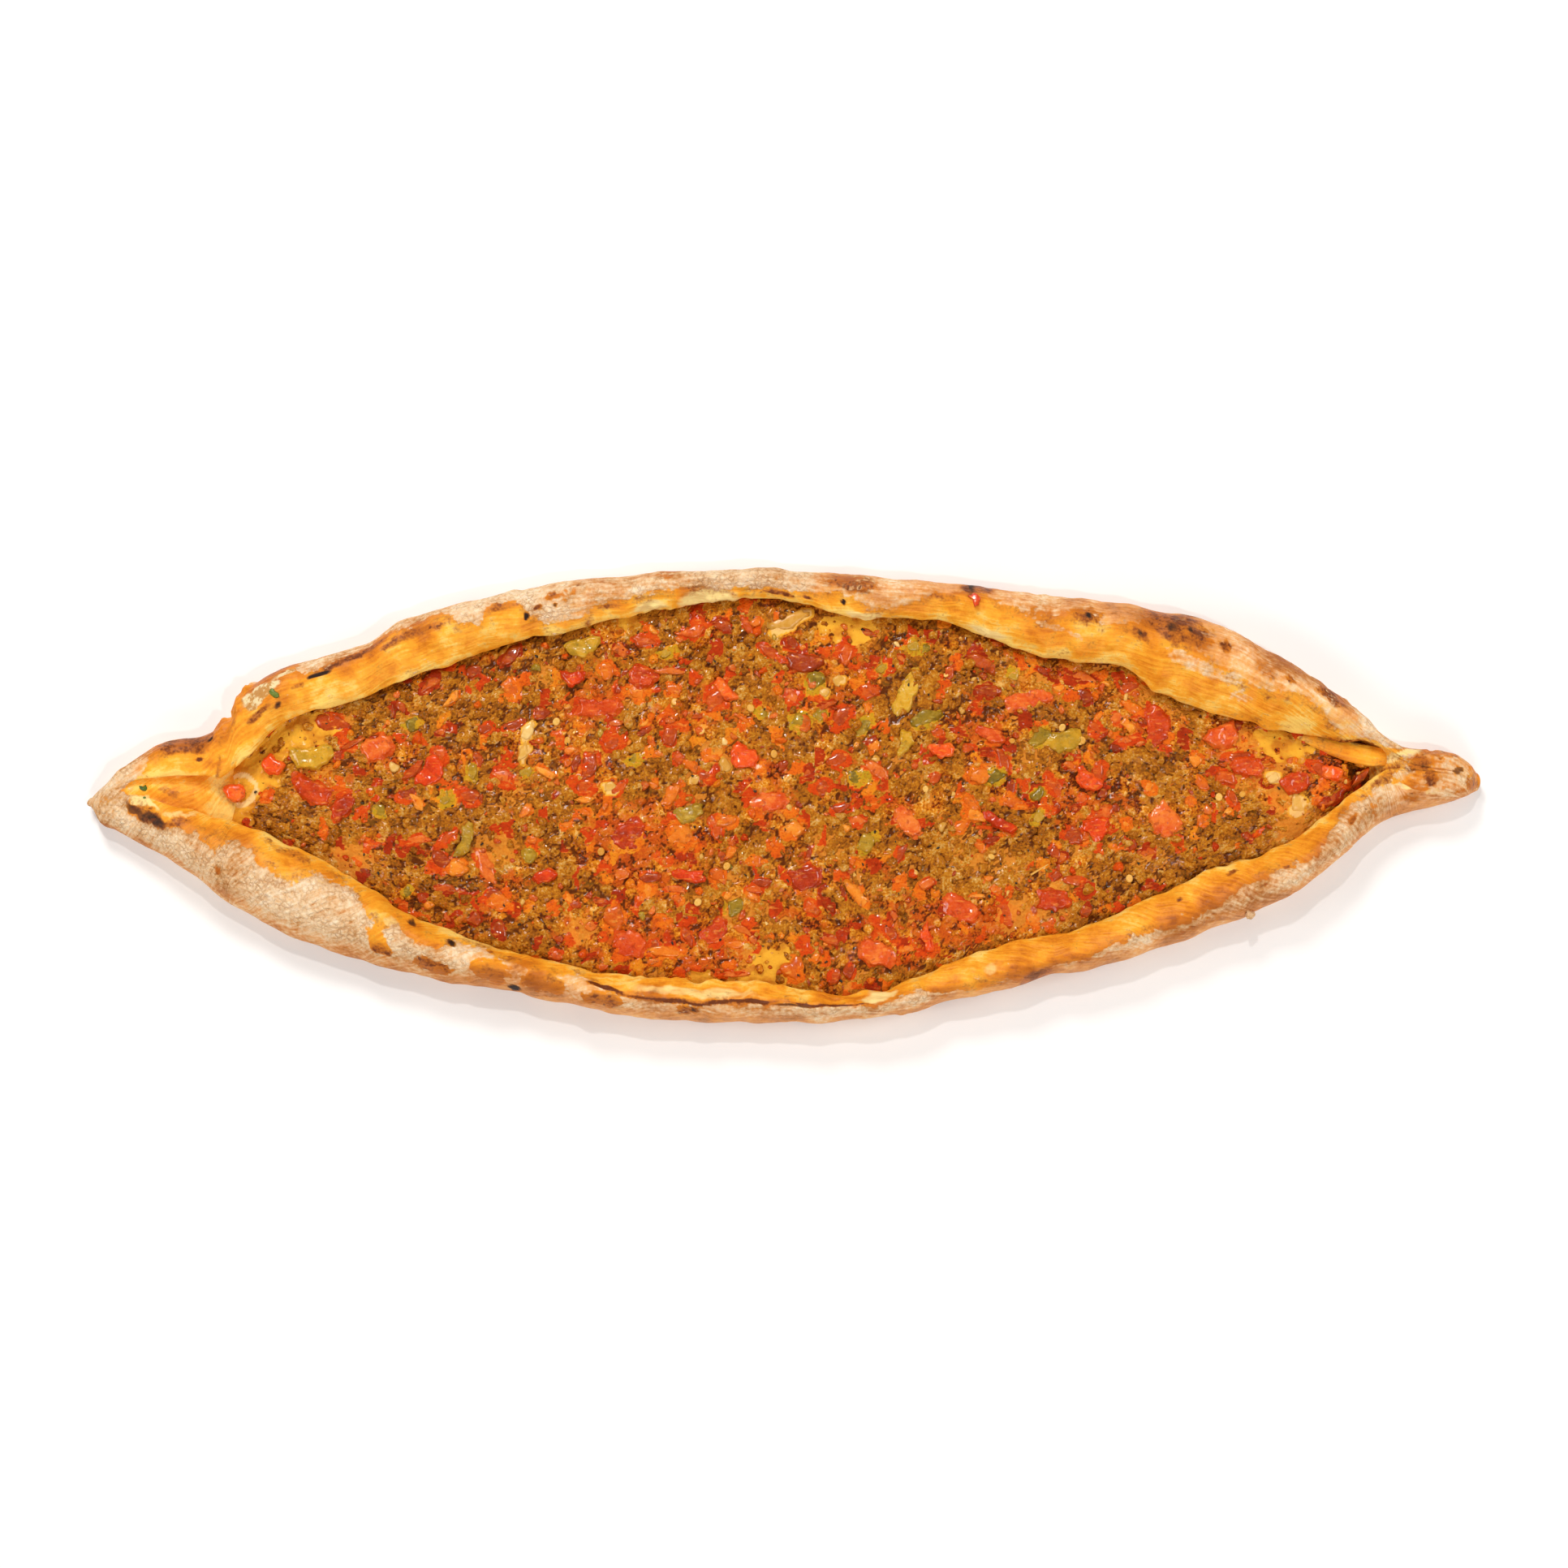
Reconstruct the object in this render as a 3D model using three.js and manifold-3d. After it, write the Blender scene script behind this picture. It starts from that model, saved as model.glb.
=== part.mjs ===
// Turkish pide: a long boat-shaped flatbread whose rims are folded in over a bed of minced meat
// with chopped tomato and pepper. Its left end is pinched flat, its right end is twisted to a knob.
// Millimetres. +X runs along the boat, +Y across it, +Z up. It lies flat on the plane z = 0.
import * as THREE from "three";
import { mergeVertices } from "three/addons/utils/BufferGeometryUtils.js";
import Module from "manifold-3d";

const wasm = await Module();
wasm.setup();

// ---- Driving dimensions ------------------------------------------------------------------

const LENGTH = 450;
const BASE = 4.5; // bread under the filling
const FILLING_TOP = 9.6; // mean height of the mince
const THIN_TOP = 7; // its height at the left end, where it thins out
const FILLING_RELIEF = 0.8; // lumps of the mince above and below that height
const LIP_TOP = 13.4; // upper side of the folded edge, where it ends over the filling
const LIP_SHARE = 0.28; // thickness of the folded edge, as a share of its height over the bread
const OVERHANG = 3; // how far the folded edge reaches over the filling
const FOOT_INSET = 6; // how far the flat underside stays inside the outline
const BELLY = 0.36; // height of the widest point of the rim, as a share of the crest
const END_ROUND = 10; // length of each rounded tip
const END_THIN = 0.45; // height of the tip's last section, as a share of the crest
const TIP_LIFT = 0.35; // how far the underside rises where the tip thins, as a share of what is lost
const CREASE = { lip: 0.97, floor: 0.84, width: -0.4 }; // what is left where the rims have met
const GAP = 0.35; // air between neighbouring pieces

// Stretch of the boat that is open, and how far the bread's floor climbs to close it at each end.
const OPEN = { from: -214, fullFrom: -182, fullTo: 186, to: 198 };

const STATIONS = 86; // cross sections along the boat
const END_CROWDING = 0.22; // 0 spaces them evenly, 1 crowds them all at the tips
const TORN_END = [-183.5, -178.6, -176.3]; // more sections, where the far rim's outer layer is torn off

// Plan of the boat as lines y(x): the outer edge and the folded edge's lip, on the far and near side.
const FAR_EDGE = [
  [-225, -0.5], [-220, 4], [-213, 9.5], [-200, 17.3], [-187, 20], [-182, 25.2], [-178.6, 26],
  [-176.3, 33.2], [-168, 38.3],
  [-136, 50], [-122, 57.5], [-70, 69.6], [-17, 74], [61, 68.3], [109, 62.5], [140, 55.7],
  [166, 40.4], [187, 27], [197, 15.8], [216, 13.4], [225, 7.5],
];
const NEAR_EDGE = [
  [-225, -7.5], [-217, -11.6], [-194, -24.4], [-181, -34], [-162, -43.8], [-136, -54],
  [-96, -62.7], [-17, -73.8], [9, -73.5], [35, -71.1], [61, -65.1], [114, -51.5], [140, -42.5],
  [166, -31.2], [193, -9], [198, -6.6], [216, -2.6], [225, 1.5],
];
const FAR_LIP = [
  [-225, -3.2], [-204, 4.7], [-184, 5.2], [-175, 10], [-163, 21], [-128, 34], [-107, 42.4],
  [-75, 52.6], [-40, 59.2], [-9, 64], [30, 56.4], [43, 56.4], [67, 50.4], [93, 42.3], [109, 41],
  [119, 33.1], [159, 20.5], [193, 13.5], [201, 9.5], [225, 5.6],
];
const NEAR_LIP = [
  [-225, -4.8], [-212, -1], [-188, -6.6], [-175, -10.5], [-154, -18.9], [-112, -42],
  [-49, -58.8], [-15, -60.6], [22, -64.8], [35, -61.6], [61, -50.9], [98, -42], [130, -28],
  [161, -15.8], [187, 3.4], [193, 8], [201, 7], [225, 4],
];

// Height of the rims' crests, and where across the rim the crest lies (0 outer edge, 1 lip).
const FAR_CREST = [[-225, 11], [-205, 14.5], [-176, 15.5], [-165, 18], [-90, 19], [0, 18],
  [100, 21], [150, 23], [180, 20], [197, 15], [212, 15], [225, 12]];
const NEAR_CREST = [[-225, 11], [-205, 16], [-170, 21], [-120, 21], [-60, 19], [20, 18.5],
  [110, 20], [160, 21], [185, 18], [197, 16], [212, 15.5], [225, 12]];
const FAR_CREST_AT = [[-225, 0.5], [-195, 0.32], [-165, 0.42], [-80, 0.36], [20, 0.4], [110, 0.42],
  [170, 0.45], [225, 0.5]];
const NEAR_CREST_AT = [[-225, 0.5], [-200, 0.62], [-140, 0.66], [-60, 0.55], [20, 0.5],
  [90, 0.38], [160, 0.4], [225, 0.5]];

// Slow unevenness of hand-folded dough, in mm, and the lengths of its waves.
const EDGE_WAVE = { height: 0.7, lengths: [53, 29, 17] };
const LIP_WAVE = { height: 0.8, lengths: [31, 19, 12] };
const LIP_TOP_WAVE = { height: 0.5, lengths: [42, 19, 10] };
const CREST_WAVE = { height: 1.3, lengths: [71, 33, 17] };

// Chopped vegetables that are large enough to be pieces of their own, where they lie on the mince:
// x, y, length, width, and the turn of the length from +X in degrees.
const TOMATO = [
  [-152, 0.2, 15.5, 8.5, -25], [-142.2, -4.6, 12, 6, 52], [-131.5, 14.5, 12, 9, 20],
  [-60.6, 27.8, 17, 8, -5], [-46, 38.2, 10, 8, -20], [-49.9, -14.4, 13, 11, 30],
  [-6.3, -2.6, 15, 8, -8], [-50.1, -49.4, 12, 10, -10], [-22.6, -44.9, 12, 9, 30],
  [6.8, -27.6, 12, 9, 15], [29.1, -51.5, 15, 9, -30], [56.7, -37.6, 14, 10, -20],
  [86.4, -34.8, 12, 8, -10], [39.6, -9.2, 14, 7.5, -50], [78.8, 30.2, 20, 8, 12],
  [66.2, 19.4, 13, 5, -20], [121.5, 21.5, 14, 10.5, 80], [122.3, -8.6, 14, 11, -60],
  [141.5, 18.5, 13, 8, 12], [149.1, 8.4, 12, 7.5, -5], [164.9, 3.5, 11, 8, 20],
];
const RED_PEPPER = [
  [-177.5, 0.2, 7, 6.5, -5], [-165.8, 9, 8.5, 5.5, -40], [-114, 6.4, 12, 9, 45],
  [-68.5, 37.6, 9, 6, 5], [-19.2, 33.6, 11, 4.5, -55], [-12.9, 11.8, 10, 8.5, -30],
  [-30.5, -27, 12, 5, -12], [-76.7, -27, 9, 6, 20], [50.4, 13.8, 11, 6, -5],
  [97.9, 3.9, 10, 7, -40], [101, -11.5, 9, 7.5, 15], [68.8, -9.2, 14, 4.2, -35],
  [176.4, 6.4, 8, 5.5, -30], [45.4, -47, 11, 3.6, -75],
];
const GREEN_PEPPER = [
  [-152, 11.6, 15, 8, 12], [-65.6, 47.4, 12, 6.5, 12], [-102.1, -15.2, 12, 4.5, 75],
  [40.6, 33, 20, 7, 68], [39.6, 16.6, 9, 5, 75], [91, 16.8, 15, 8, 25], [-30.5, -7, 11, 6, 15],
];

// Height of each kind of large piece, and how far it stands out of the mince.
const PIECE_FORM = {
  tomato: { thick: 4.4, proud: 1.5, bend: 0.12, colour: 0xd23a1c, roughness: 0.25 },
  red_pepper: { thick: 3.4, proud: 1.7, bend: 0.18, colour: 0xe0401a, roughness: 0.22 },
  green_pepper: { thick: 3.2, proud: 1.4, bend: 0.28, colour: 0x9a8a1e, roughness: 0.3 },
};

// Small dice that are joined to the mince.
const DICE = { tries: 172, long: [5.5, 9], wide: [4, 6], thick: 3, proud: 1.3, lipClear: 2.6 };

const BREAD_COLOUR = 0xdd9a45;
const MINCE_COLOUR = 0xa8641e;

// ---- Numbers and lines -------------------------------------------------------------------

const mix = (a, b, t) => a + (b - a) * t;

function smoothStep(from, to, x) {
  const t = Math.min(1, Math.max(0, (x - from) / (to - from)));
  return t * t * (3 - 2 * t);
}

// A repeatable number from 0 to 1 for each pair of whole numbers.
function chance(n, salt) {
  const s = Math.sin(n * 127.1 + salt * 311.7) * 43758.5453;
  return s - Math.floor(s);
}

// A smooth line y(x) through points, which never swings past them.
function lineThrough(points) {
  const slopes = points.slice(1).map(([x, y], i) => (y - points[i][1]) / (x - points[i][0]));
  const tangents = points.map((_, i) => {
    const [before, after] = [slopes[Math.max(0, i - 1)], slopes[Math.min(i, slopes.length - 1)]];
    return before * after > 0 ? (2 * before * after) / (before + after) : 0;
  });
  return (x) => {
    const last = points.length - 2;
    const next = points.findIndex(([px]) => px > x) - 1;
    const i = next < 0 ? (x < points[0][0] ? 0 : last) : next;
    const [[x0, y0], [x1, y1]] = [points[i], points[i + 1]];
    const span = x1 - x0;
    const t = Math.min(1, Math.max(0, (x - x0) / span));
    const [t2, t3] = [t * t, t * t * t];
    return (2 * t3 - 3 * t2 + 1) * y0 + (t3 - 2 * t2 + t) * span * tangents[i] +
      (3 * t2 - 2 * t3) * y1 + (t3 - t2) * span * tangents[i + 1];
  };
}

// Uneven waves along x, between about -height and height.
function wave({ height, lengths }, x, salt) {
  const sum = lengths.reduce(
    (total, length, i) => total + Math.sin((2 * Math.PI * x) / length + 7 * chance(i, salt)), 0);
  return (height * sum) / lengths.length;
}

// ---- Solids and meshes -------------------------------------------------------------------

function geometryOf(vertices, triangles) {
  return new THREE.BufferGeometry()
    .setAttribute("position", new THREE.Float32BufferAttribute(vertices.flat(), 3))
    .setIndex(triangles.flat());
}

// Joins closed rings of equal length, each a list of points, to one closed skin with flat ends.
function skinOf(rings) {
  const n = rings[0].length;
  const middle = (ring) => [0, 1, 2].map((k) => ring.reduce((sum, p) => sum + p[k], 0) / n);
  const vertices = [...rings.flat(), middle(rings[0]), middle(rings.at(-1))];
  const [first, last] = [rings.length * n, rings.length * n + 1];
  const triangles = [];
  for (let k = 0; k < n; k++) {
    const next = (k + 1) % n;
    for (let i = 0; i < rings.length - 1; i++) {
      const [a, b] = [i * n + k, i * n + next];
      triangles.push([a, b, b + n], [a, b + n, a + n]);
    }
    triangles.push([first, next, k], [last, (rings.length - 1) * n + k, (rings.length - 1) * n + next]);
  }
  return geometryOf(vertices, triangles);
}

function solidOf(geometry) {
  const bare = new THREE.BufferGeometry()
    .setAttribute("position", geometry.getAttribute("position"))
    .setIndex(geometry.index);
  const merged = mergeVertices(bare, 1e-3);
  return new wasm.Manifold(new wasm.Mesh({
    numProp: 3,
    vertProperties: merged.getAttribute("position").array,
    triVerts: new Uint32Array(merged.index.array),
  }));
}

// The largest body of a solid, as a three.js geometry.
function geometryFrom(solid) {
  const [largest] = solid.decompose().sort((a, b) => b.volume() - a.volume());
  const { vertProperties, triVerts } = largest.getMesh();
  return new THREE.BufferGeometry()
    .setAttribute("position", new THREE.BufferAttribute(vertProperties, 3))
    .setIndex(new THREE.BufferAttribute(triVerts, 1));
}

function meshOf(name, geometry, colour, roughness) {
  const material = new THREE.MeshStandardMaterial({ color: colour, roughness, metalness: 0 });
  const mesh = new THREE.Mesh(geometry, material);
  mesh.name = name;
  return mesh;
}

// ---- The bread ---------------------------------------------------------------------------

const FAR = {
  side: 1,
  edge: lineThrough(FAR_EDGE),
  lip: lineThrough(FAR_LIP),
  crest: lineThrough(FAR_CREST),
  crestAt: lineThrough(FAR_CREST_AT),
};
const NEAR = {
  side: -1,
  edge: lineThrough(NEAR_EDGE),
  lip: lineThrough(NEAR_LIP),
  crest: lineThrough(NEAR_CREST),
  crestAt: lineThrough(NEAR_CREST_AT),
};

// 1 where the boat is open to its full depth, 0 where its rims have met.
const openness = (x) =>
  smoothStep(OPEN.from, OPEN.fullFrom, x) * (1 - smoothStep(OPEN.fullTo, OPEN.to, x));

// How full a section is near the tips: 1 along the boat, falling like a quarter circle at each end.
function fullness(x) {
  const into = Math.min(1, (LENGTH / 2 - Math.abs(x)) / END_ROUND);
  return mix(END_THIN, 1, Math.sqrt(Math.max(0, 1 - (1 - into) ** 2)));
}

// The form of one rim at x: heights, and y of its parts.
function rimAt(rim, x) {
  const open = openness(x);
  const full = fullness(x);
  const crest = (rim.crest(x) + wave(CREST_WAVE, x, rim.side + 2)) * full;
  const lift = rim.crest(x) * (1 - full) * TIP_LIFT;
  const floor = mix(mix(lift, crest, CREASE.floor), BASE, open);
  const lipTop = mix(mix(lift, crest, CREASE.lip), LIP_TOP + wave(LIP_TOP_WAVE, x, rim.side + 5), open);
  const edgeY = rim.edge(x) + rim.side * wave(EDGE_WAVE, x, rim.side + 8) * full * open;
  const lipY = rim.lip(x) + rim.side * wave(LIP_WAVE, x, rim.side + 11) * open;
  return {
    crest, lift, floor, lipTop, edgeY, lipY,
    crestY: mix(edgeY, lipY, rim.crestAt(x)),
    lipUnder: mix(lipTop, floor, LIP_SHARE),
    rootY: lipY + rim.side * mix(CREASE.width, OVERHANG, open),
    foot: Math.min(FOOT_INSET, 0.3 * Math.abs(edgeY - lipY)),
  };
}

// One rim's half of a cross section, from the underside round the crest to the bread's floor.
function rimSection(rim, x) {
  const r = rimAt(rim, x);
  const belly = r.lift + (r.crest - r.lift) * BELLY;
  const outer = (degrees, reach, height) => {
    const a = THREE.MathUtils.degToRad(degrees);
    return [r.edgeY + (reach - r.edgeY) * (1 - Math.cos(a)), belly + height * Math.sin(a)];
  };
  const inner = (t) => [mix(r.crestY, r.lipY, t), mix(r.crest, r.lipTop, t ** 1.7)];
  const footY = r.edgeY - rim.side * r.foot;
  return [
    [footY, r.lift],
    outer(-45, footY, belly - r.lift),
    ...[0, 40].map((degrees) => outer(degrees, r.crestY, r.crest - belly)),
    [r.crestY, r.crest],
    ...[0.3, 0.6, 0.88].map(inner),
    [r.lipY, mix(r.lipTop, r.lipUnder, 0.45)],
    [mix(r.lipY, r.rootY, 0.25), r.lipUnder],
    [r.rootY, mix(r.lipUnder, r.floor, 0.12)],
    [r.rootY, r.floor],
  ];
}

// A whole cross section as a closed ring, counter-clockwise seen from +X.
function boatRing(x) {
  const far = rimSection(FAR, x);
  const near = rimSection(NEAR, x).reverse();
  const between = ([ya, za], [yb, zb]) => [(ya + yb) / 2, (za + zb) / 2];
  const floor = between(far.at(-1), near[0]);
  const under = between(far[0], near.at(-1));
  return [...far, floor, ...near, under].map(([y, z]) => [x, y, z]);
}

// Where the cross sections stand: closer together towards the tips, and at the torn end.
const SPACED_X = Array.from({ length: STATIONS }, (_, i) => {
  const t = (2 * i) / (STATIONS - 1) - 1;
  return (LENGTH / 2) * mix(t, Math.sin((Math.PI / 2) * t), END_CROWDING);
});
const STATION_X = SPACED_X
  .filter((x) => TORN_END.every((torn) => Math.abs(torn - x) > 1))
  .concat(TORN_END)
  .sort((a, b) => a - b);

// Height of the mince: thin at the left end, and lumpy all over.
const fillingTop = (x) => mix(THIN_TOP, FILLING_TOP, smoothStep(OPEN.fullFrom, OPEN.fullFrom + 36, x));

function minceHeight(x, y) {
  const lumps = Math.sin(x / 7.3 + 2 * Math.sin(y / 11)) + Math.sin(y / 6.1 + 1.6 * Math.sin(x / 13)) +
    0.8 * Math.sin((x + y) / 4.7);
  return fillingTop(x) + (FILLING_RELIEF * lumps) / 2.8;
}

// ---- Chopped pieces ----------------------------------------------------------------------

// Levels of a chopped piece, as shares of its thickness, and how wide it is at each.
const ROUNDED = [[-0.5, 0.82], [0.1, 1], [0.5, 0.74]];
const SIMPLE = [[-0.5, 1], [0.5, 0.8]];
const UPRIGHT = [[-0.5, 1], [0.7, 1]];

// One chopped piece about its own middle, lying flat: an uneven block, narrower at its top.
function choppedGeometry({ long, wide, thick, bend, corners, seed, levels }) {
  const rings = levels.map(([level, size]) =>
    Array.from({ length: corners }, (_, k) => {
      const turn = (2 * Math.PI * (k + 0.35 * chance(k, seed))) / corners;
      const reach = size * (0.84 + 0.32 * chance(k, seed + 40));
      const square = Math.max(Math.abs(Math.cos(turn)), Math.abs(Math.sin(turn))) ** 0.6;
      const x = (long / 2) * (reach / square) * Math.cos(turn);
      const y = (wide / 2) * (reach / square) * Math.sin(turn);
      return [x, y + bend * wide * ((2 * x) / long) ** 2, level * thick];
    }));
  return skinOf(rings);
}

// Where a piece lies: its turn, a slight tilt, and its top at a height above the mince.
function resting({ x, y, turn, thick, proud, seed }) {
  const tilt = (salt) => THREE.MathUtils.degToRad(10 * chance(seed, salt) - 5);
  const lying = new THREE.Object3D();
  lying.position.set(x, y, minceHeight(x, y) + proud - thick / 2);
  lying.rotation.set(tilt(1), tilt(2), THREE.MathUtils.degToRad(turn), "ZYX");
  lying.updateMatrix();
  return lying;
}

const LARGE = Object.entries({ tomato: TOMATO, red_pepper: RED_PEPPER, green_pepper: GREEN_PEPPER })
  .flatMap(([kind, rows]) => rows.map(([x, y, long, wide, turn], i) => ({
    name: `${kind}_${String(i + 1).padStart(2, "0")}`,
    x, y, long, wide, turn, corners: 8, levels: ROUNDED, seed: i + 10 * kind.length, ...PIECE_FORM[kind],
  })));

function largeMesh(piece) {
  const mesh = meshOf(piece.name, choppedGeometry(piece), piece.colour, piece.roughness);
  const place = resting(piece);
  mesh.position.copy(place.position);
  mesh.rotation.copy(place.rotation);
  return mesh;
}

// The space a large piece needs in the mince: the piece itself, grown by the gap all round.
function pocketSolid(piece) {
  const [long, wide] = [piece.long + 2.6 * GAP, piece.wide + 2.6 * GAP];
  const space = { ...piece, long, wide, thick: piece.thick + 2 * GAP, levels: UPRIGHT };
  return solidOf(choppedGeometry(space).applyMatrix4(resting(piece).matrix));
}

// ---- The filling -------------------------------------------------------------------------

const MINCE = { from: -183, to: 190, across: 12, skirt: 0.09 };

// A cross section of the mince: its flat underside, then its lumpy top, which dips under the lips.
function minceRing(x) {
  const [far, near] = [rimAt(FAR, x), rimAt(NEAR, x)];
  const [top, bottom] = [far.rootY - GAP, near.rootY + GAP];
  const under = Math.max(far.floor, near.floor) + GAP;
  const edgeTop = Math.min(fillingTop(x) - 0.4, ...[far, near].map(
    (rim) => mix(rim.lipUnder, rim.floor, 0.12) - GAP));
  const topPoints = Array.from({ length: MINCE.across + 1 }, (_, k) => {
    const t = k / MINCE.across;
    const y = mix(bottom, top, t);
    const inside = smoothStep(0, MINCE.skirt, Math.min(t, 1 - t));
    return [x, y, mix(edgeTop, Math.max(edgeTop, minceHeight(x, y)), inside)];
  });
  return [[x, bottom, under], ...topPoints, [x, top, under]].reverse();
}

function minceSolid() {
  const along = STATION_X.filter((x) => x > MINCE.from && x < MINCE.to);
  return solidOf(skinOf(along.map(minceRing)));
}

// Even but irregular places for the small dice, clear of the lips and of the large pieces.
function dicePlaces() {
  const places = [];
  for (let n = 1; n <= DICE.tries; n++) {
    const x = mix(MINCE.from + 10, MINCE.to - 8, (n * 0.7548776662) % 1);
    const y = mix(-66, 66, (n * 0.569840291) % 1);
    const long = mix(...DICE.long, chance(n, 3));
    const reach = long / 2 + DICE.lipClear;
    const inside = y + reach < rimAt(FAR, x).lipY && y - reach > rimAt(NEAR, x).lipY;
    const free = LARGE.every((p) => Math.hypot(p.x - x, p.y - y) > (p.long + long) / 2);
    if (inside && free) places.push({ n, x, y, long });
  }
  return places;
}

function diceSolid({ n, x, y, long }) {
  const die = {
    x, y, long, wide: mix(...DICE.wide, chance(n, 5)), thick: DICE.thick, bend: 0, corners: 5,
    levels: SIMPLE, seed: n, turn: 180 * chance(n, 7), proud: DICE.proud * mix(0.5, 1.2, chance(n, 9)),
  };
  return solidOf(choppedGeometry(die).applyMatrix4(resting(die).matrix));
}

function fillingSolid() {
  const heap = dicePlaces().reduce((mince, place) => mince.add(diceSolid(place)), minceSolid());
  return LARGE.reduce((mince, piece) => mince.subtract(pocketSolid(piece)), heap);
}

// ---- The pide ----------------------------------------------------------------------------

const pide = new THREE.Group();
pide.add(
  meshOf("bread_boat", skinOf(STATION_X.map(boatRing)), BREAD_COLOUR, 0.75),
  meshOf("mince_filling", geometryFrom(fillingSolid()), MINCE_COLOUR, 0.5),
  ...LARGE.map(largeMesh),
);

// The origin lies under the middle of the pide.
const middle = new THREE.Box3().setFromObject(pide, true).getCenter(new THREE.Vector3());
pide.position.set(-middle.x, -middle.y, 0);

export default pide;
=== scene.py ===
"""Turkish pide with minced meat: the looks of the bread and its filling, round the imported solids.

Lengths are in millimetres, along the frame's own axes: +X along the boat, +Y to its far rim and +Z
up. A mesh is turned to Blender's metres as it is made. Every random choice is seeded.
"""

import logging
import math
from dataclasses import dataclass, field
from enum import Enum
from typing import Any, Sequence

import bmesh
import bpy
import numpy as np
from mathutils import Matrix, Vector


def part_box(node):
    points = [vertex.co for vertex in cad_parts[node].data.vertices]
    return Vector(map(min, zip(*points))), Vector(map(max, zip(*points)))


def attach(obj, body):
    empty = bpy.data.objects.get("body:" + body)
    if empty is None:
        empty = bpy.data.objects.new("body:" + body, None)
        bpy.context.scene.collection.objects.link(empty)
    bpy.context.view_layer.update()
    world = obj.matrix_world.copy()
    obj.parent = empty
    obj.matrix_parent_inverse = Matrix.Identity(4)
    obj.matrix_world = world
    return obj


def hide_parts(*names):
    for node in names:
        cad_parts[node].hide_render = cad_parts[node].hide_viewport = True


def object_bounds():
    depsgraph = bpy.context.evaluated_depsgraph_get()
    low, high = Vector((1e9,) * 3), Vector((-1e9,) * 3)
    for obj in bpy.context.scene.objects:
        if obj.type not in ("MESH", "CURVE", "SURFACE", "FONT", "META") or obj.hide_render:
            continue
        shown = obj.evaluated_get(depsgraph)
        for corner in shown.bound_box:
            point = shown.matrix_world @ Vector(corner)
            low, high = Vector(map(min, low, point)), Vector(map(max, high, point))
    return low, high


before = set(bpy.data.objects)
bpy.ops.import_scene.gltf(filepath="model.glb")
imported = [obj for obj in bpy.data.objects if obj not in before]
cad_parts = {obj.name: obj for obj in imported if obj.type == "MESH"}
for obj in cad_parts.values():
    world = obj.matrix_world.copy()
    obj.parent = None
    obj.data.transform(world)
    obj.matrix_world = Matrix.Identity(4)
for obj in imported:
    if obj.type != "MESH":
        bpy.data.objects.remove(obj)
CAD_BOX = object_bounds()

MM = 0.001
# Added to what may be 0 before it divides: to lengths, and to areas and widths.
TINY, LEAST = 1e-6, 1e-9
Array = np.ndarray
Table = Sequence[tuple[float, float]]
Rows = tuple[tuple[float, ...], ...]
Layers = tuple[tuple[float, float, int], ...]
Marks = dict[str, np.ndarray]
Dice = np.random.Generator
Socket = bpy.types.NodeSocket
log = logging.getLogger("pide")


# ---- Numbers, lines and unevenness ----


class Rim(Enum):
    """The two folded rims of the boat, by the side of the X axis on which they lie."""

    FAR = 1
    NEAR = -1


def rise(start: float, end: float, value: Array) -> Array:
    """Rises smoothly from 0 where a value is at start to 1 at end, which may be the lower one."""
    t = np.clip((value - start) / (end - start), 0, 1)
    return t * t * (3 - 2 * t)


def along(table: Table, x: Array) -> Array:
    """Reads a table of (x, value) rows in rising order at each x, straight between the rows."""
    knots = np.array(table, float)
    return np.interp(x, knots[:, 0], knots[:, 1])


def chance(cells: Array, seed: int) -> Array:
    """Draws a repeatable number for each row of whole numbers.

    Args:
        cells: n rows of whole numbers.
        seed: another seed gives other numbers.

    Returns:
        n numbers from 0 to 1.
    """
    mixed = np.full(len(cells), 0x9E3779B9 + 7919 * seed, np.uint64)
    for column in np.asarray(cells).astype(np.int64).astype(np.uint64).T:
        mixed = (mixed ^ column) * np.uint64(0xBF58476D1CE4E5B9)
        mixed ^= mixed >> np.uint64(29)
    return (mixed >> np.uint64(11)) / float(1 << 53)


@dataclass(frozen=True)
class Unevenness:
    """Smooth random swelling in space, from about -1 to 1, with lumps of one size."""

    size: float
    seed: int

    def at(self, places: Array) -> Array:
        """Reads the swelling.

        Args:
            places: n points.

        Returns:
            Its value at each point.
        """
        turned = places @ np.array([[0.8, 0.36, -0.48], [-0.6, 0.48, -0.64], [0, 0.8, 0.6]])
        scaled = turned / self.size + 13.7 * self.seed
        cell = np.floor(scaled).astype(np.int64)
        t = scaled - cell
        t = t**3 * (t * (6 * t - 15) + 10)
        total = np.zeros(len(places))
        for corner in np.ndindex(2, 2, 2):
            share = np.prod(np.where(corner, t, 1 - t), axis=1)
            total += share * (2 * chance(cell + corner, self.seed) - 1)
        return 1.4 * total


def swell(places: Array, *layers: tuple[float, float, int]) -> Array:
    """Adds up unevenness of several sizes.

    Args:
        places: n points, or x and y of n points.
        layers: each layer's weight, the size of its lumps and its seed.

    Returns:
        The sum at each point.
    """
    if places.shape[1] == 2:
        places = np.column_stack([places, np.zeros(len(places))])
    return sum(weight * Unevenness(size, seed).at(places) for weight, size, seed in layers)


def swayed(places: Array, size: float, seed: int) -> Array:
    """Gives each x and y a random push, smooth over lumps of a size, from about -1 to 1."""
    return np.stack([swell(places, (1, size, k)) for k in (seed, seed + 1)], axis=1)


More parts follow.
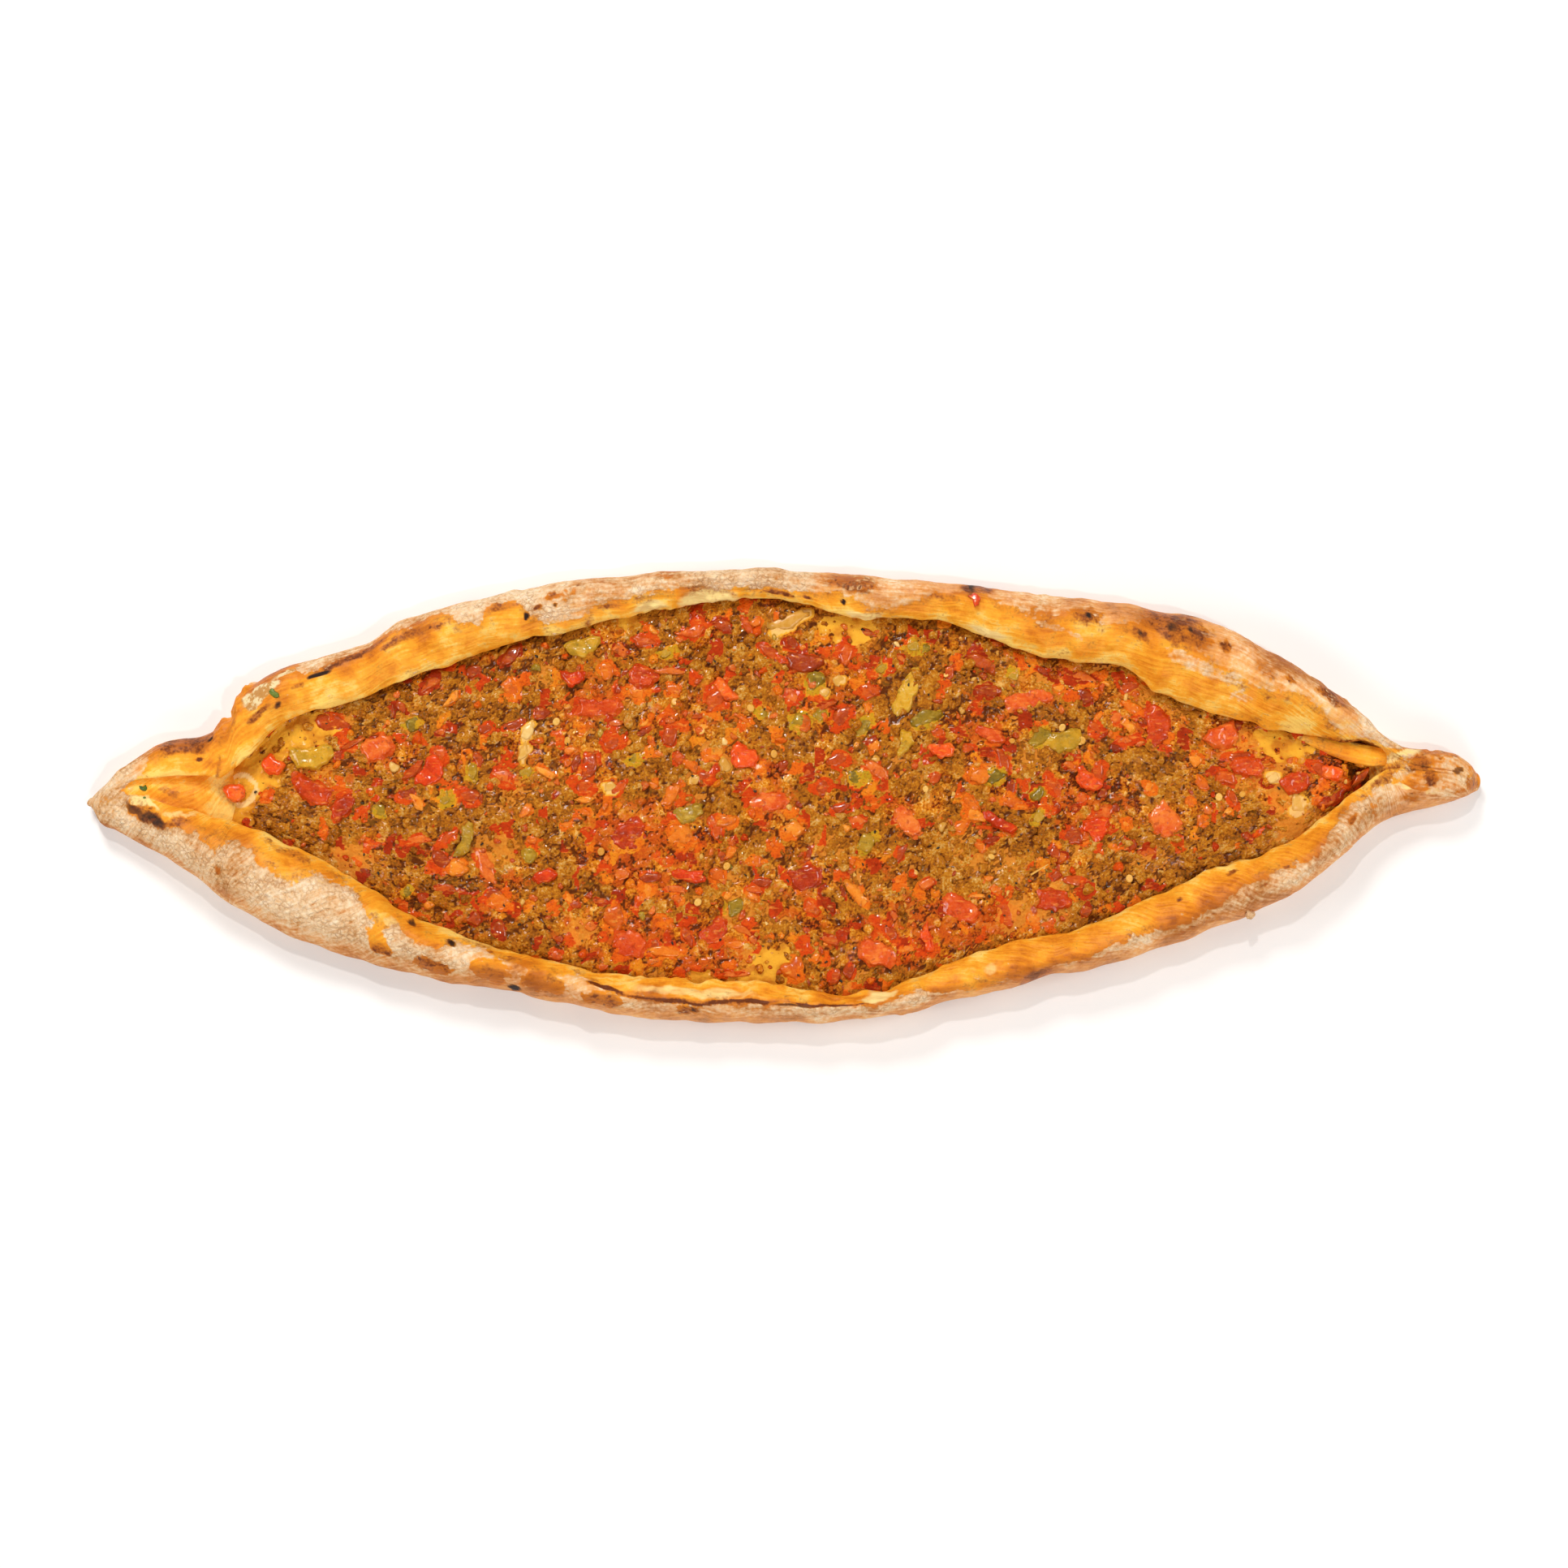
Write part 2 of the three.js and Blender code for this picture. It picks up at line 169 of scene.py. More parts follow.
@dataclass(frozen=True)
class Crumbling:
    """A plane broken up into uneven crumbs of one size."""

    size: float
    seed: int

    def at(self, places: Array) -> tuple[Array, Array, Array]:
        """Reads the crumbs.

        Args:
            places: n points of the plane.

        Returns:
            Each point's distance to its crumb's middle and how far it is from the crack beside the
            crumb, both as shares of the size, and its crumb's own random number.
        """
        scaled = places / self.size
        base = np.floor(scaled).astype(np.int64)
        first = np.full(len(places), 9.0)
        second = first.copy()
        own = np.zeros(len(places))
        for step in np.ndindex(3, 3):
            cell = base + np.array(step) - 1
            offset = np.stack([chance(cell, self.seed), chance(cell, self.seed + 1)], axis=1)
            distance = np.linalg.norm(cell + 0.1 + 0.8 * offset - scaled, axis=1)
            nearer = distance < first
            second = np.where(nearer, first, np.minimum(second, distance))
            own = np.where(nearer, chance(cell, self.seed + 2), own)
            first = np.where(nearer, distance, first)
        return first, second - first, own


def hermite(t: Array, start: Array, end: Array, leave: Array, arrive: Array) -> Array:
    """Joins two values by a smooth curve.

    Args:
        t: share of the way, 0 to 1.
        start: the first value.
        end: the second value.
        leave: the slope at the first, for the whole way.
        arrive: the slope at the second.

    Returns:
        The curve's value.
    """
    return (
        (2 * t**3 - 3 * t**2 + 1) * start
        + (t**3 - 2 * t**2 + t) * leave
        + (3 * t**2 - 2 * t**3) * end
        + (t**3 - t**2) * arrive
    )


def cubic_along(knots: Array, values: Array, places: Array) -> Array:
    """Draws smooth lines through values at knots, which never swing past them.

    Args:
        knots: n rising numbers.
        values: n rows of values.
        places: k numbers between the first knot and the last.

    Returns:
        k rows of values.
    """
    gap = np.diff(knots)[:, None]
    slope = np.diff(values, axis=0) / gap
    before, after = slope[:-1], slope[1:]
    limit = 3 * np.minimum(np.abs(before), np.abs(after))
    middle = np.clip((before + after) / 2, -limit, limit) * (before * after > 0)
    tangent = np.concatenate([slope[:1], middle, slope[-1:]])
    i = np.clip(np.searchsorted(knots, places, side="right") - 1, 0, len(knots) - 2)
    span = gap[i]
    t = (places - knots[i])[:, None] / span
    return hermite(t, values[i], values[i + 1], span * tangent[i], span * tangent[i + 1])


# ---- Nodes and finishes ----


def linear(colour: str) -> tuple[float, float, float, float]:
    """Turns an sRGB colour to linear light.

    Args:
        colour: six hex digits after a #.

    Returns:
        Red, green, blue and an alpha of 1.
    """
    parts = [int(colour[i : i + 2], 16) / 255 for i in (1, 3, 5)]
    lit = [c / 12.92 if c <= 0.04045 else ((c + 0.055) / 1.055) ** 2.4 for c in parts]
    return lit[0], lit[1], lit[2], 1.0


def add_node(
    tree: bpy.types.NodeTree, kind: str, inputs: dict[Any, Any] | None = None, **settings: Any
) -> bpy.types.Node:
    """Adds a node with its settings, values and links.

    Args:
        tree: the material's or world's node tree.
        kind: the node's type, without its ShaderNode prefix.
        inputs: for each socket's name or number, a value, a hex colour or an output to link from.
        settings: the node's own properties.

    Returns:
        The node.
    """
    made = tree.nodes.new("ShaderNode" + kind)
    for name, value in settings.items():
        setattr(made, name, value)
    for name, value in (inputs or {}).items():
        if isinstance(value, Socket):
            tree.links.new(value, made.inputs[name])
        else:
            made.inputs[name].default_value = linear(value) if isinstance(value, str) else value
    return made


@dataclass
class Palette:
    """Builds up a colour in layers, on the node tree of one material."""

    tree: bpy.types.NodeTree

    def mark(self, name: str) -> Socket:
        """Reads a mark painted on the mesh, by its name."""
        return add_node(self.tree, "Attribute", attribute_name=name).outputs["Fac"]

    def place(self) -> Socket:
        """Reads where a point of the object is."""
        return add_node(self.tree, "TexCoord").outputs["Object"]

    def noise(
        self, size: float, detail: float = 2.0, stretch: tuple[float, ...] = (1, 1, 1)
    ) -> Socket:
        """Makes noise whose lumps have a real size.

        Args:
            size: width of a lump in mm.
            detail: how many finer layers it has.
            stretch: how much longer the lumps are along each axis.

        Returns:
            Its value, about 0.5 on average.
        """
        inputs = {"Vector": self.place(), "Scale": tuple(1 / (size * MM * s) for s in stretch)}
        scaled = add_node(self.tree, "Mapping", inputs).outputs[0]
        inputs = {"Vector": scaled, "Scale": 1.0, "Detail": detail}
        return add_node(self.tree, "TexNoise", inputs).outputs[0]

    def cracks(self, size: float, bend: float, by: float) -> Socket:
        """Makes the distance to the nearest crack of a skin that is cracked all over.

        Args:
            size: width of the flakes between cracks, in mm.
            bend: width of the lumps of noise that bend the cracks, in mm.
            by: how far they bend, in mm.

        Returns:
            The distance, 0 on a crack and about 0.5 in the middle of a flake.
        """
        inputs = {"Vector": self.place(), "Scale": 1 / (bend * MM), "Detail": 3.0}
        lumps = add_node(self.tree, "TexNoise", inputs).outputs["Color"]
        inputs = {0: lumps, 1: (by * MM,) * 3, 2: self.place()}
        bent = add_node(self.tree, "VectorMath", inputs, operation="MULTIPLY_ADD").outputs[0]
        inputs = {"Vector": bent, "Scale": 1 / (size * MM)}
        return add_node(
            self.tree, "TexVoronoi", inputs, feature="DISTANCE_TO_EDGE"
        ).outputs["Distance"]

    def streaks(self, long: float, wide: float) -> Socket:
        """Makes noise that is drawn out along the folds of the dough.

        Args:
            long: length of a streak in mm.
            wide: its width in mm.

        Returns:
            Its value, about 0.5 on average.
        """
        axes = (("run", long), ("cross", wide))
        inputs = {i: self.product(self.mark(name), 1 / size) for i, (name, size) in enumerate(axes)}
        place = add_node(self.tree, "CombineXYZ", inputs).outputs[0]
        inputs = {"Vector": place, "Scale": 1.0, "Detail": 3.0}
        return add_node(self.tree, "TexNoise", inputs).outputs[0]

    def sum(self, *parts: tuple[float, Any], start: float = 0.0) -> Socket:
        """Adds up values, each times its weight.

        Args:
            parts: pairs of a weight and a value.
            start: what the sum starts from.

        Returns:
            The sum.
        """
        total: Any = start
        for weight, value in parts:
            inputs = {0: value, 1: weight, 2: total}
            total = add_node(self.tree, "Math", inputs, operation="MULTIPLY_ADD").outputs[0]
        return total

    def product(self, first: Any, second: Any) -> Socket:
        """Multiplies two values."""
        return add_node(self.tree, "Math", {0: first, 1: second}, operation="MULTIPLY").outputs[0]

    def step(self, value: Any, start: float, end: float, low: float = 0, high: float = 1) -> Any:
        """Rises smoothly from low to high as a value goes from start to end.

        Args:
            value: the value read.
            start: where the rise begins.
            end: where it ends.
            low: the result before the start.
            high: the result after the end.

        Returns:
            The result.
        """
        inputs = {"Value": value, "From Min": start, "From Max": end, "To Min": low, "To Max": high}
        made = add_node(self.tree, "MapRange", inputs, interpolation_type="SMOOTHSTEP")
        return made.outputs["Result"]

    def mix(self, share: Any, first: Any, second: Any) -> Socket:
        """Lays a share, 0 to 1, of a second colour over a first, each a hex colour or an output."""
        # Sockets 0, 6 and 7 are the share and the two colours, and output 2 is the mixed colour.
        inputs = {0: share, 6: first, 7: second}
        return add_node(self.tree, "Mix", inputs, data_type="RGBA").outputs[2]

    def ramp(self, value: Any, colours: Sequence[str]) -> Socket:
        """Picks from evenly spaced colours.

        Args:
            value: 0 for the first colour, 1 for the last.
            colours: two or more hex colours.

        Returns:
            The colour.
        """
        made = add_node(self.tree, "ValToRGB", {"Fac": value})
        stops = made.color_ramp.elements
        for i, colour in enumerate(colours):
            place = i / (len(colours) - 1)
            stop = stops[i] if i < 2 else stops.new(place)
            stop.position = place
            stop.color = linear(colour)
        return made.outputs["Color"]

    def bump(self, height: Any, depth: float, strength: float = 1.0, over: Any = None) -> Any:
        """Raises the surface by a value.

        Args:
            height: the value, 0 to 1.
            depth: how deep 1 is, in mm.
            strength: how much of it shows.
            over: a bump it lies on, if any.

        Returns:
            The normal.
        """
        inputs = {"Height": height, "Distance": depth * MM, "Strength": strength}
        if over is not None:
            inputs["Normal"] = over
        return add_node(self.tree, "Bump", inputs).outputs["Normal"]


@dataclass(frozen=True)
class Finish:
    """A material, as what the real one is."""

    name: str

    def paint(self, palette: Palette) -> dict[str, Any]:
        """Gives a value or an output for each of the shader's sockets, by name."""
        raise NotImplementedError

    def material(self) -> bpy.types.Material:
        """Makes the material, or finds it if it was made before.

        Returns:
            The material.
        """
        found = bpy.data.materials.get(self.name)
        if found:
            return found
        made = bpy.data.materials.new(self.name)
        made.use_nodes = True
        tree = made.node_tree
        tree.nodes.clear()
        shader = add_node(tree, "BsdfPrincipled", self.paint(Palette(tree)))
        add_node(tree, "OutputMaterial", {"Surface": shader.outputs[0]})
        return made


@dataclass(frozen=True)
class BakedDough(Finish):
    """Wheat dough, brushed with egg and oil inside and floured outside, from a stone oven.

    Egg wash gives the gold and a soft gloss, dry flour a pale, dull skin with fine cracks, and the
    oven's heat brown and black patches where the dough stood highest.
    """

    golds: tuple[str, ...] = ("#a85814", "#d27618", "#ec9220", "#fbae30", "#ffd46c")
    flours: tuple[str, ...] = ("#a86c36", "#ca945c", "#e4b888", "#f0cca0", "#f8deba")
    toast: str = "#ac5c1c"
    deep_toast: str = "#6c320e"
    halo: str = "#7a4218"
    char: str = "#2c1a12"
    cream: str = "#f8d88c"
    crumb: tuple[str, str] = ("#ecd4a0", "#c48a46")
    crevice: str = "#a46a38"
    # Sizes in mm: of brown blotches, of streaks along and across, of grains of flour, which are
    # drawn coarse enough to show, and of the flakes that thick flour dries to.
    blotch: float = 14.0
    streak: tuple[float, float] = (9.0, 1.2)
    dusting: float = 1.6
    flake: float = 1.9
    # How much shows of flour that is only a film.
    film: float = 0.3

    def paint(self, palette: Palette) -> dict[str, Any]:
        """Lays gold, toast and painted shade, flour, cream and char over each other, each
        ragged-edged.

        Args:
            palette: of the material's tree.

        Returns:
            A value or an output for each socket.
        """
        p = palette
        broad, mid, fine = p.noise(self.blotch), p.noise(4.0, 3.0), p.noise(0.9)
        drawn, dust = p.streaks(*self.streak), p.noise(self.dusting, 3.0)
        toast = p.sum((1, p.mark("toast")), (1.4, mid), (0.9, fine), (0.2, drawn), start=-1.28)

        tone = p.sum(
            (0.42, p.mark("yolk")), (1.35, broad), (0.8, mid), (0.7, drawn), (0.35, fine),
            start=-1.28,
        )
        colour = p.ramp(tone, self.golds)
        cream = p.step(p.sum((1, p.mark("cream")), (0.5, mid), (0.3, drawn), start=-0.4), 0.15, 0.8)
        colour = p.mix(cream, colour, self.cream)
        # The toast colours also lay the painted shade under the lips and on the near rim's outer
        # edge.
        brown = p.mix(p.step(toast, 0.6, 1.1), self.toast, self.deep_toast)
        colour = p.mix(p.step(toast, 0.1, 0.85), colour, brown)

        flour = p.sum((1, p.mark("flour")), (1.2, dust), (0.6, drawn), (0.9, mid), start=-1.35)
        flour = p.step(flour, 0.3, 0.62)
        heavy = p.sum(
            (1.3, p.mark("thick")), (0.9, dust), (1.1, drawn), (0.9, mid), (0.9, broad), start=-2.5
        )
        flour = p.product(flour, p.step(heavy, -0.2, 0.6, self.film, 1.0))
        shade = p.sum(
            (1, dust), (0.8, drawn), (1.3, broad), (-0.6, p.mark("toast")), (0.6, fine),
            start=-1.22,
        )
        dusted = p.ramp(shade, self.flours)
        cracks = p.cracks(self.flake, 1.5, 1.6)
        crack = p.step(cracks, 0.0, 0.16, 1.0, 0.0)
        deep = p.step(p.mark("thick"), 0.5, 0.9, 0.2, 1.0)
        shown = p.product(crack, p.product(deep, p.step(mid, 0.42, 0.64, 0.12, 0.62)))
        colour = p.mix(flour, colour, p.mix(shown, dusted, self.crevice))

        torn = p.step(p.sum((1, p.mark("torn")), (0.4, fine), start=-0.2), 0.35, 0.7)
        holes = p.step(p.sum((1, mid), (0.5, fine), start=-0.25), 0.42, 0.6)
        colour = p.mix(torn, colour, p.mix(holes, *self.crumb))
        burnt = p.sum((1, p.mark("char")), (0.5, mid), (0.35, fine), start=-0.42)
        colour = p.mix(p.step(burnt, 0.05, 0.55, 0.0, 0.85), colour, self.halo)
        colour = p.mix(p.step(burnt, 0.4, 0.95), colour, self.char)
        specks = p.step(p.noise(1.7, 0.0), 0.71, 0.76)
        browned = p.sum((1, p.mark("toast")), (0.3, mid), start=-0.15)
        specks = p.product(specks, p.step(browned, 0.3, 0.75, 0.0, 0.85))
        colour = p.mix(specks, colour, self.deep_toast)

        skin = p.bump(p.noise(0.7), 0.14, 0.5)
        skin = p.bump(p.step(cracks, 0.0, 0.4), 0.3, p.product(flour, deep), skin)
        skin = p.bump(drawn, 0.55, 0.65, skin)
        skin = p.bump(p.noise(3.2, 3.0), 0.6, 0.5, skin)
        return {
            "Base Color": colour,
            "Roughness": p.step(p.sum((1, flour), (0.3, dust), (0.3, burnt)), 0.1, 0.9, 0.42, 0.85),
            "IOR": 1.45,
            "Specular IOR Level": 0.2,
            "Subsurface Weight": 0.1,
            "Subsurface Radius": (2.0 * MM, 1.1 * MM, 0.5 * MM),
            "Subsurface Scale": 1.0,
            "Normal": skin,
        }


@dataclass(frozen=True)
class CookedMince(Finish):
    """Minced beef baked with onion, tomato paste and its own fat.

    The browned crumbs are dull and the fat between them gives small wet glints. Soft tomato and
    pepper are pressed into it, and at the left end it thins out over oily dough.
    """

    tones: tuple[str, ...] = ("#4e1602", "#8c3606", "#b45a0a", "#d07610", "#e49224", "#f4ba64")
    flesh: tuple[str, ...] = ("#942604", "#ce3e08", "#e0660e", "#e2941a", "#a88e18")
    vein: str = "#f0963a"
    stain: str = "#9c3008"
    shade: str = "#5a2404"
    burnt: str = "#341804"
    paste: str = "#cc5212"
    olive: str = "#986618"
    oil_tones: tuple[str, str] = ("#cc6410", "#eca038")
    doughs: tuple[str, str] = ("#eaa830", "#c8781c")
    pale: str = "#f3d08c"

    def paint(self, palette: Palette) -> dict[str, Any]:
        """Gives each crumb its own brown, paints shade into the cracks and lays flesh and fat in
        between.

        Args:
            palette: of the material's tree.

        Returns:
            A value or an output for each socket.
        """
        p = palette
        grain, mid, broad = p.noise(0.8, 3.0), p.noise(2.6), p.noise(9.0)
        tone = p.sum((0.75, p.mark("tone")), (1.7, grain), (0.8, mid), start=-1.12)
        colour = p.ramp(tone, self.tones)
        olive = p.step(p.sum((1, broad), (-0.3, p.mark("red"))), 0.3, 0.5)
        colour = p.mix(p.product(olive, 0.45), colour, self.olive)
        paste = p.step(p.sum((1, p.noise(4.2)), (0.4, grain), (0.3, p.mark("red"))), 0.8, 0.98)
        colour = p.mix(p.product(paste, 0.75), colour, self.paste)

        hue = p.sum((1, p.mark("hue")), (0.3, mid), (0.12, grain), start=-0.2)
        flesh = p.ramp(hue, self.flesh)
        veins = p.step(p.noise(1.3, 2.0, (2.0, 0.8, 1.0)), 0.56, 0.75, 0.0, 0.6)
        flesh = p.mix(veins, flesh, self.vein)
        flesh = p.mix(p.step(grain, 0.5, 0.3, 0.0, 0.5), flesh, self.stain)
        soft = p.sum((1, p.mark("flesh")), (0.5, grain), (0.35, mid), start=-0.42)
        share = p.step(soft, 0.42, 0.56)
        colour = p.mix(share, colour, flesh)

        # Painted shade: the low places between the crumbs are darkened.
        deep = p.step(p.sum((1, p.mark("deep")), (0.7, mid), (0.4, grain), start=-0.55), 0.3, 0.75)
        colour = p.mix(p.product(deep, 0.92), colour, self.shade)
        oil = p.step(p.sum((1, p.mark("oil")), (0.4, grain), start=-0.2), 0.3, 0.7)
        colour = p.mix(p.product(oil, 0.8), colour, p.mix(grain, *self.oil_tones))
        dough = p.step(p.sum((1, p.mark("dough")), (0.4, mid), start=-0.2), 0.3, 0.7)
        colour = p.mix(dough, colour, p.mix(p.step(p.noise(5.0), 0.4, 0.7), *self.doughs))
        colour = p.mix(p.step(p.mark("dough"), 1.2, 2.0), colour, self.pale)
        specks = p.step(p.noise(1.0, 0.0), 0.8, 0.85)
        colour = p.mix(p.product(specks, 0.7), colour, self.burnt)
        wet = p.sum((0.45, share), (0.8, oil), (0.8, dough))
        return {
            "Base Color": colour,
            "Roughness": p.step(p.sum((1, grain), (-0.7, wet), start=0.2), 0.0, 0.9, 0.24, 0.62),
            "IOR": 1.4,
            "Specular IOR Level": 0.06,
            "Coat Weight": 0.26,
            "Coat Roughness": 0.04,
            "Normal": p.bump(grain, 0.8, p.step(wet, 0, 1, 0.9, 0.4)),
        }


@dataclass(frozen=True)
class SoftVegetable(Finish):
    """Chopped tomato or pepper, baked soft in oil: wet, a little see-through and softly veined."""

    tones: tuple[str, ...]
    vein: str
    stain: str
    roughness: float
    glow: float

    def paint(self, palette: Palette) -> dict[str, Any]:
        """Gives each piece its own tone, with paler veins, browned spots and a rough, wet skin.

        Args:
            palette: of the material's tree.

        Returns:
            A value or an output for each socket.
        """
        p = palette
        broad, fine = p.noise(3.5), p.noise(0.8, 3.0)
        tone = p.sum((0.8, p.mark("tone")), (0.75, broad), (0.45, fine), start=-0.5)
        colour = p.ramp(tone, self.tones)
        veins = p.step(p.noise(1.4, 3.0, (2.2, 0.7, 1.0)), 0.54, 0.74)
        colour = p.mix(p.product(veins, 0.6), colour, self.vein)
        browned = p.step(p.sum((1, p.noise(2.2)), (0.4, fine)), 0.78, 0.9)
        colour = p.mix(p.product(browned, 0.6), colour, self.stain)
        return {
            "Base Color": colour,
            "Roughness": p.step(fine, 0.3, 0.7, self.roughness - 0.1, self.roughness + 0.14),
            "IOR": 1.38,
            "Specular IOR Level": 0.2,
            "Subsurface Weight": self.glow,
            "Subsurface Radius": (2.4 * MM, 0.8 * MM, 0.3 * MM),
            "Subsurface Scale": 1.0,
            "Coat Weight": 0.62,
            "Coat Roughness": 0.05,
            "Normal": p.bump(fine, 0.18, 0.5, p.bump(p.noise(1.8), 0.6, 0.7)),
        }


@dataclass(frozen=True)
class SmallBits(Finish):
    """Seeds, dried herbs, onion and other bits: one tone a piece, with a little grain."""

    tones: tuple[str, ...]
    roughness: float
    grain: float = 0.6

    def paint(self, palette: Palette) -> dict[str, Any]:
        """Picks each bit's tone and roughens it.

        Args:
            palette: of the material's tree.

        Returns:
            A value or an output for each socket.
        """
        p = palette
        grain = p.noise(self.grain, 1.0)
        tone = p.sum((0.8, p.mark("tone")), (0.5, grain), start=-0.15)
        return {
            "Base Color": p.ramp(tone, self.tones),
            "Roughness": p.step(grain, 0.3, 0.7, self.roughness - 0.08, self.roughness + 0.08),
            "IOR": 1.45,
            "Normal": p.bump(grain, 0.1, 0.5),
        }


DOUGH = BakedDough("baked_wheat_dough")
MINCE = CookedMince("cooked_minced_beef")
TOMATO = SoftVegetable(
    "baked_tomato_flesh", ("#a02c08", "#c63e0c", "#da561a", "#e87a2c"), "#f08c34", "#a02e06",
    0.26, 0.12,
)
RED_PEPPER = SoftVegetable(
    "baked_red_pepper", ("#b02c08", "#d63c0c", "#e85418", "#ee7626"), "#f68c2a", "#a83204",
    0.26, 0.08,
)
GREEN_PEPPER = SoftVegetable(
    "baked_green_pepper", ("#94701a", "#b8881c", "#d29820", "#dcac3c"), "#dcbc58", "#8a6c1c",
    0.3, 0.1,
)
GREEN_DICE = SoftVegetable(
    "diced_green_pepper", ("#6c5610", "#8e6e14", "#ac801a", "#c49430"), "#c8a848", "#6c5410",
    0.32, 0.08,
)
RED_DICE = SoftVegetable(
    "diced_red_pepper", ("#92300a", "#b0400a", "#cc5010", "#e07226"), "#ee8830", "#8c2e06",
    0.3, 0.08,
)
BROWNED_DICE = SoftVegetable(
    "browned_diced_tomato", ("#8c2a02", "#aa3e06", "#c6540e", "#da701e"), "#dc8a32", "#702602",
    0.36, 0.06,
)
ORANGE_DICE = SoftVegetable(
    "diced_orange_pepper", ("#c44e08", "#d86610", "#e47c1a", "#ee982e"), "#f2a440", "#a0480a",
    0.32, 0.08,
)
SEED = SmallBits("pepper_seed", ("#c07818", "#dc9c34", "#ecbc60"), 0.35)
HERB = SmallBits("dried_herb_fleck", ("#150c04", "#33240c", "#4a3a14"), 0.6)
ONION = SmallBits("soft_onion", ("#c88a2e", "#dca64c", "#ecc67c"), 0.28, 1.5)
FRESH_HERB = SmallBits("green_herb_leaf", ("#2c3c0c", "#4c6418", "#84903c"), 0.4)


# ---- Shapes ----


@dataclass
class Shape:
    """A mesh in the making: points, faces and the marks painted on its points."""

    points: Array
    faces: Array | list[list[int]]
    marks: Marks = field(default_factory=dict)

    def piece(self, name: str, finish: Finish, slot: str, stands_for: str | None = None) -> None:
        """Makes the Blender piece, riding on the part's one body.

        Args:
            name: the piece's name.
            finish: its material.
            slot: the name of its material slot; not used.
            stands_for: the solid that it replaces, if any.
        """
        mesh = bpy.data.meshes.new(name)
        faces = self.faces.tolist() if isinstance(self.faces, Array) else self.faces
        mesh.from_pydata((self.points * MM).tolist(), [], faces)
        for mark, values in self.marks.items():
            attribute = mesh.attributes.new(mark, "FLOAT", "POINT")
            attribute.data.foreach_set("value", np.asarray(values, np.float32))
        mesh.shade_smooth()
        mesh.materials.append(finish.material())
        made = bpy.data.objects.new(name, mesh)
        bpy.context.scene.collection.objects.link(made)
        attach(made, "root")
        if stands_for:
            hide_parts(stands_for)
        log.info("%s: %d points", name, len(self.points))


def skin_of(rings: Array) -> Shape:
    """Joins closed rings to one closed skin, with a fan at each end.

    Args:
        rings: n rings of m points, which run counter-clockwise seen from the last ring's end.

    Returns:
        The skin, with its points in the rings' order and then the two middles.
    """
    n, m, _ = rings.shape
    i, k = np.meshgrid(np.arange(n - 1), np.arange(m), indexing="ij")
    a, b = i * m + k, i * m + (k + 1) % m
    quads = np.stack([a, b, b + m, a + m], axis=-1).reshape(-1, 4)
    k = np.arange(m)
    start = np.stack([np.full(m, n * m), (k + 1) % m, k], axis=1)
    end = np.stack([np.full(m, n * m + 1), (n - 1) * m + k, (n - 1) * m + (k + 1) % m], axis=1)
    middles = np.stack([rings[0].mean(axis=0), rings[-1].mean(axis=0)])
    points = np.concatenate([rings.reshape(-1, 3), middles])
    return Shape(points, quads.tolist() + start.tolist() + end.tolist())


def ball(subdivisions: int) -> tuple[Array, Array]:
    """Gives the directions and triangles of an even ball.

    Args:
        subdivisions: how often its 20 faces are divided.

    Returns:
        The unit points and the faces.
    """
    form = bmesh.new()
    bmesh.ops.create_icosphere(form, subdivisions=subdivisions, radius=1)
    points = np.array([v.co for v in form.verts])
    faces = np.array([[v.index for v in face.verts] for face in form.faces])
    form.free()
    return points, faces


def scattered(forms: Array, faces: Array, marks: Marks) -> Shape:
    """Joins many small forms with the same faces to one shape.

    Args:
        forms: n forms of m points.
        faces: the faces of one form.
        marks: for each mark, n numbers, one a form.

    Returns:
        The shape.
    """
    n, m, _ = forms.shape
    every = (faces[None] + m * np.arange(n)[:, None, None]).reshape(-1, faces.shape[1])
    return Shape(forms.reshape(-1, 3), every, {k: np.repeat(v, m) for k, v in marks.items()})


def joined(shapes: Sequence[Shape]) -> Shape:
    """Joins shapes with the same marks to one.

    Args:
        shapes: the shapes, with faces of as many corners.

    Returns:
        The one shape.
    """
    starts = np.cumsum([0] + [len(s.points) for s in shapes])
    faces = np.concatenate([s.faces + start for s, start in zip(shapes, starts)])
    marks = {m: np.concatenate([s.marks[m] for s in shapes]) for m in shapes[0].marks}
    return Shape(np.concatenate([s.points for s in shapes]), faces, marks)


def turns(yaw: Array, pitch: Array, roll: Array) -> Array:
    """Makes n turns: rolled about X, pitched about Y, then turned about Z.

    Args:
        yaw: n angles about Z, in radians.
        pitch: n angles about Y.
        roll: n angles about X.

    Returns:
        n matrices of 3 x 3.
    """
    total = np.tile(np.eye(3), (len(yaw), 1, 1))
    for angle, i, k in ((yaw, 0, 1), (pitch, 2, 0), (roll, 1, 2)):
        one = np.tile(np.eye(3), (len(yaw), 1, 1))
        one[:, i, i] = one[:, k, k] = np.cos(angle)
        one[:, k, i] = np.sin(angle)
        one[:, i, k] = -np.sin(angle)
        total = total @ one
    return total


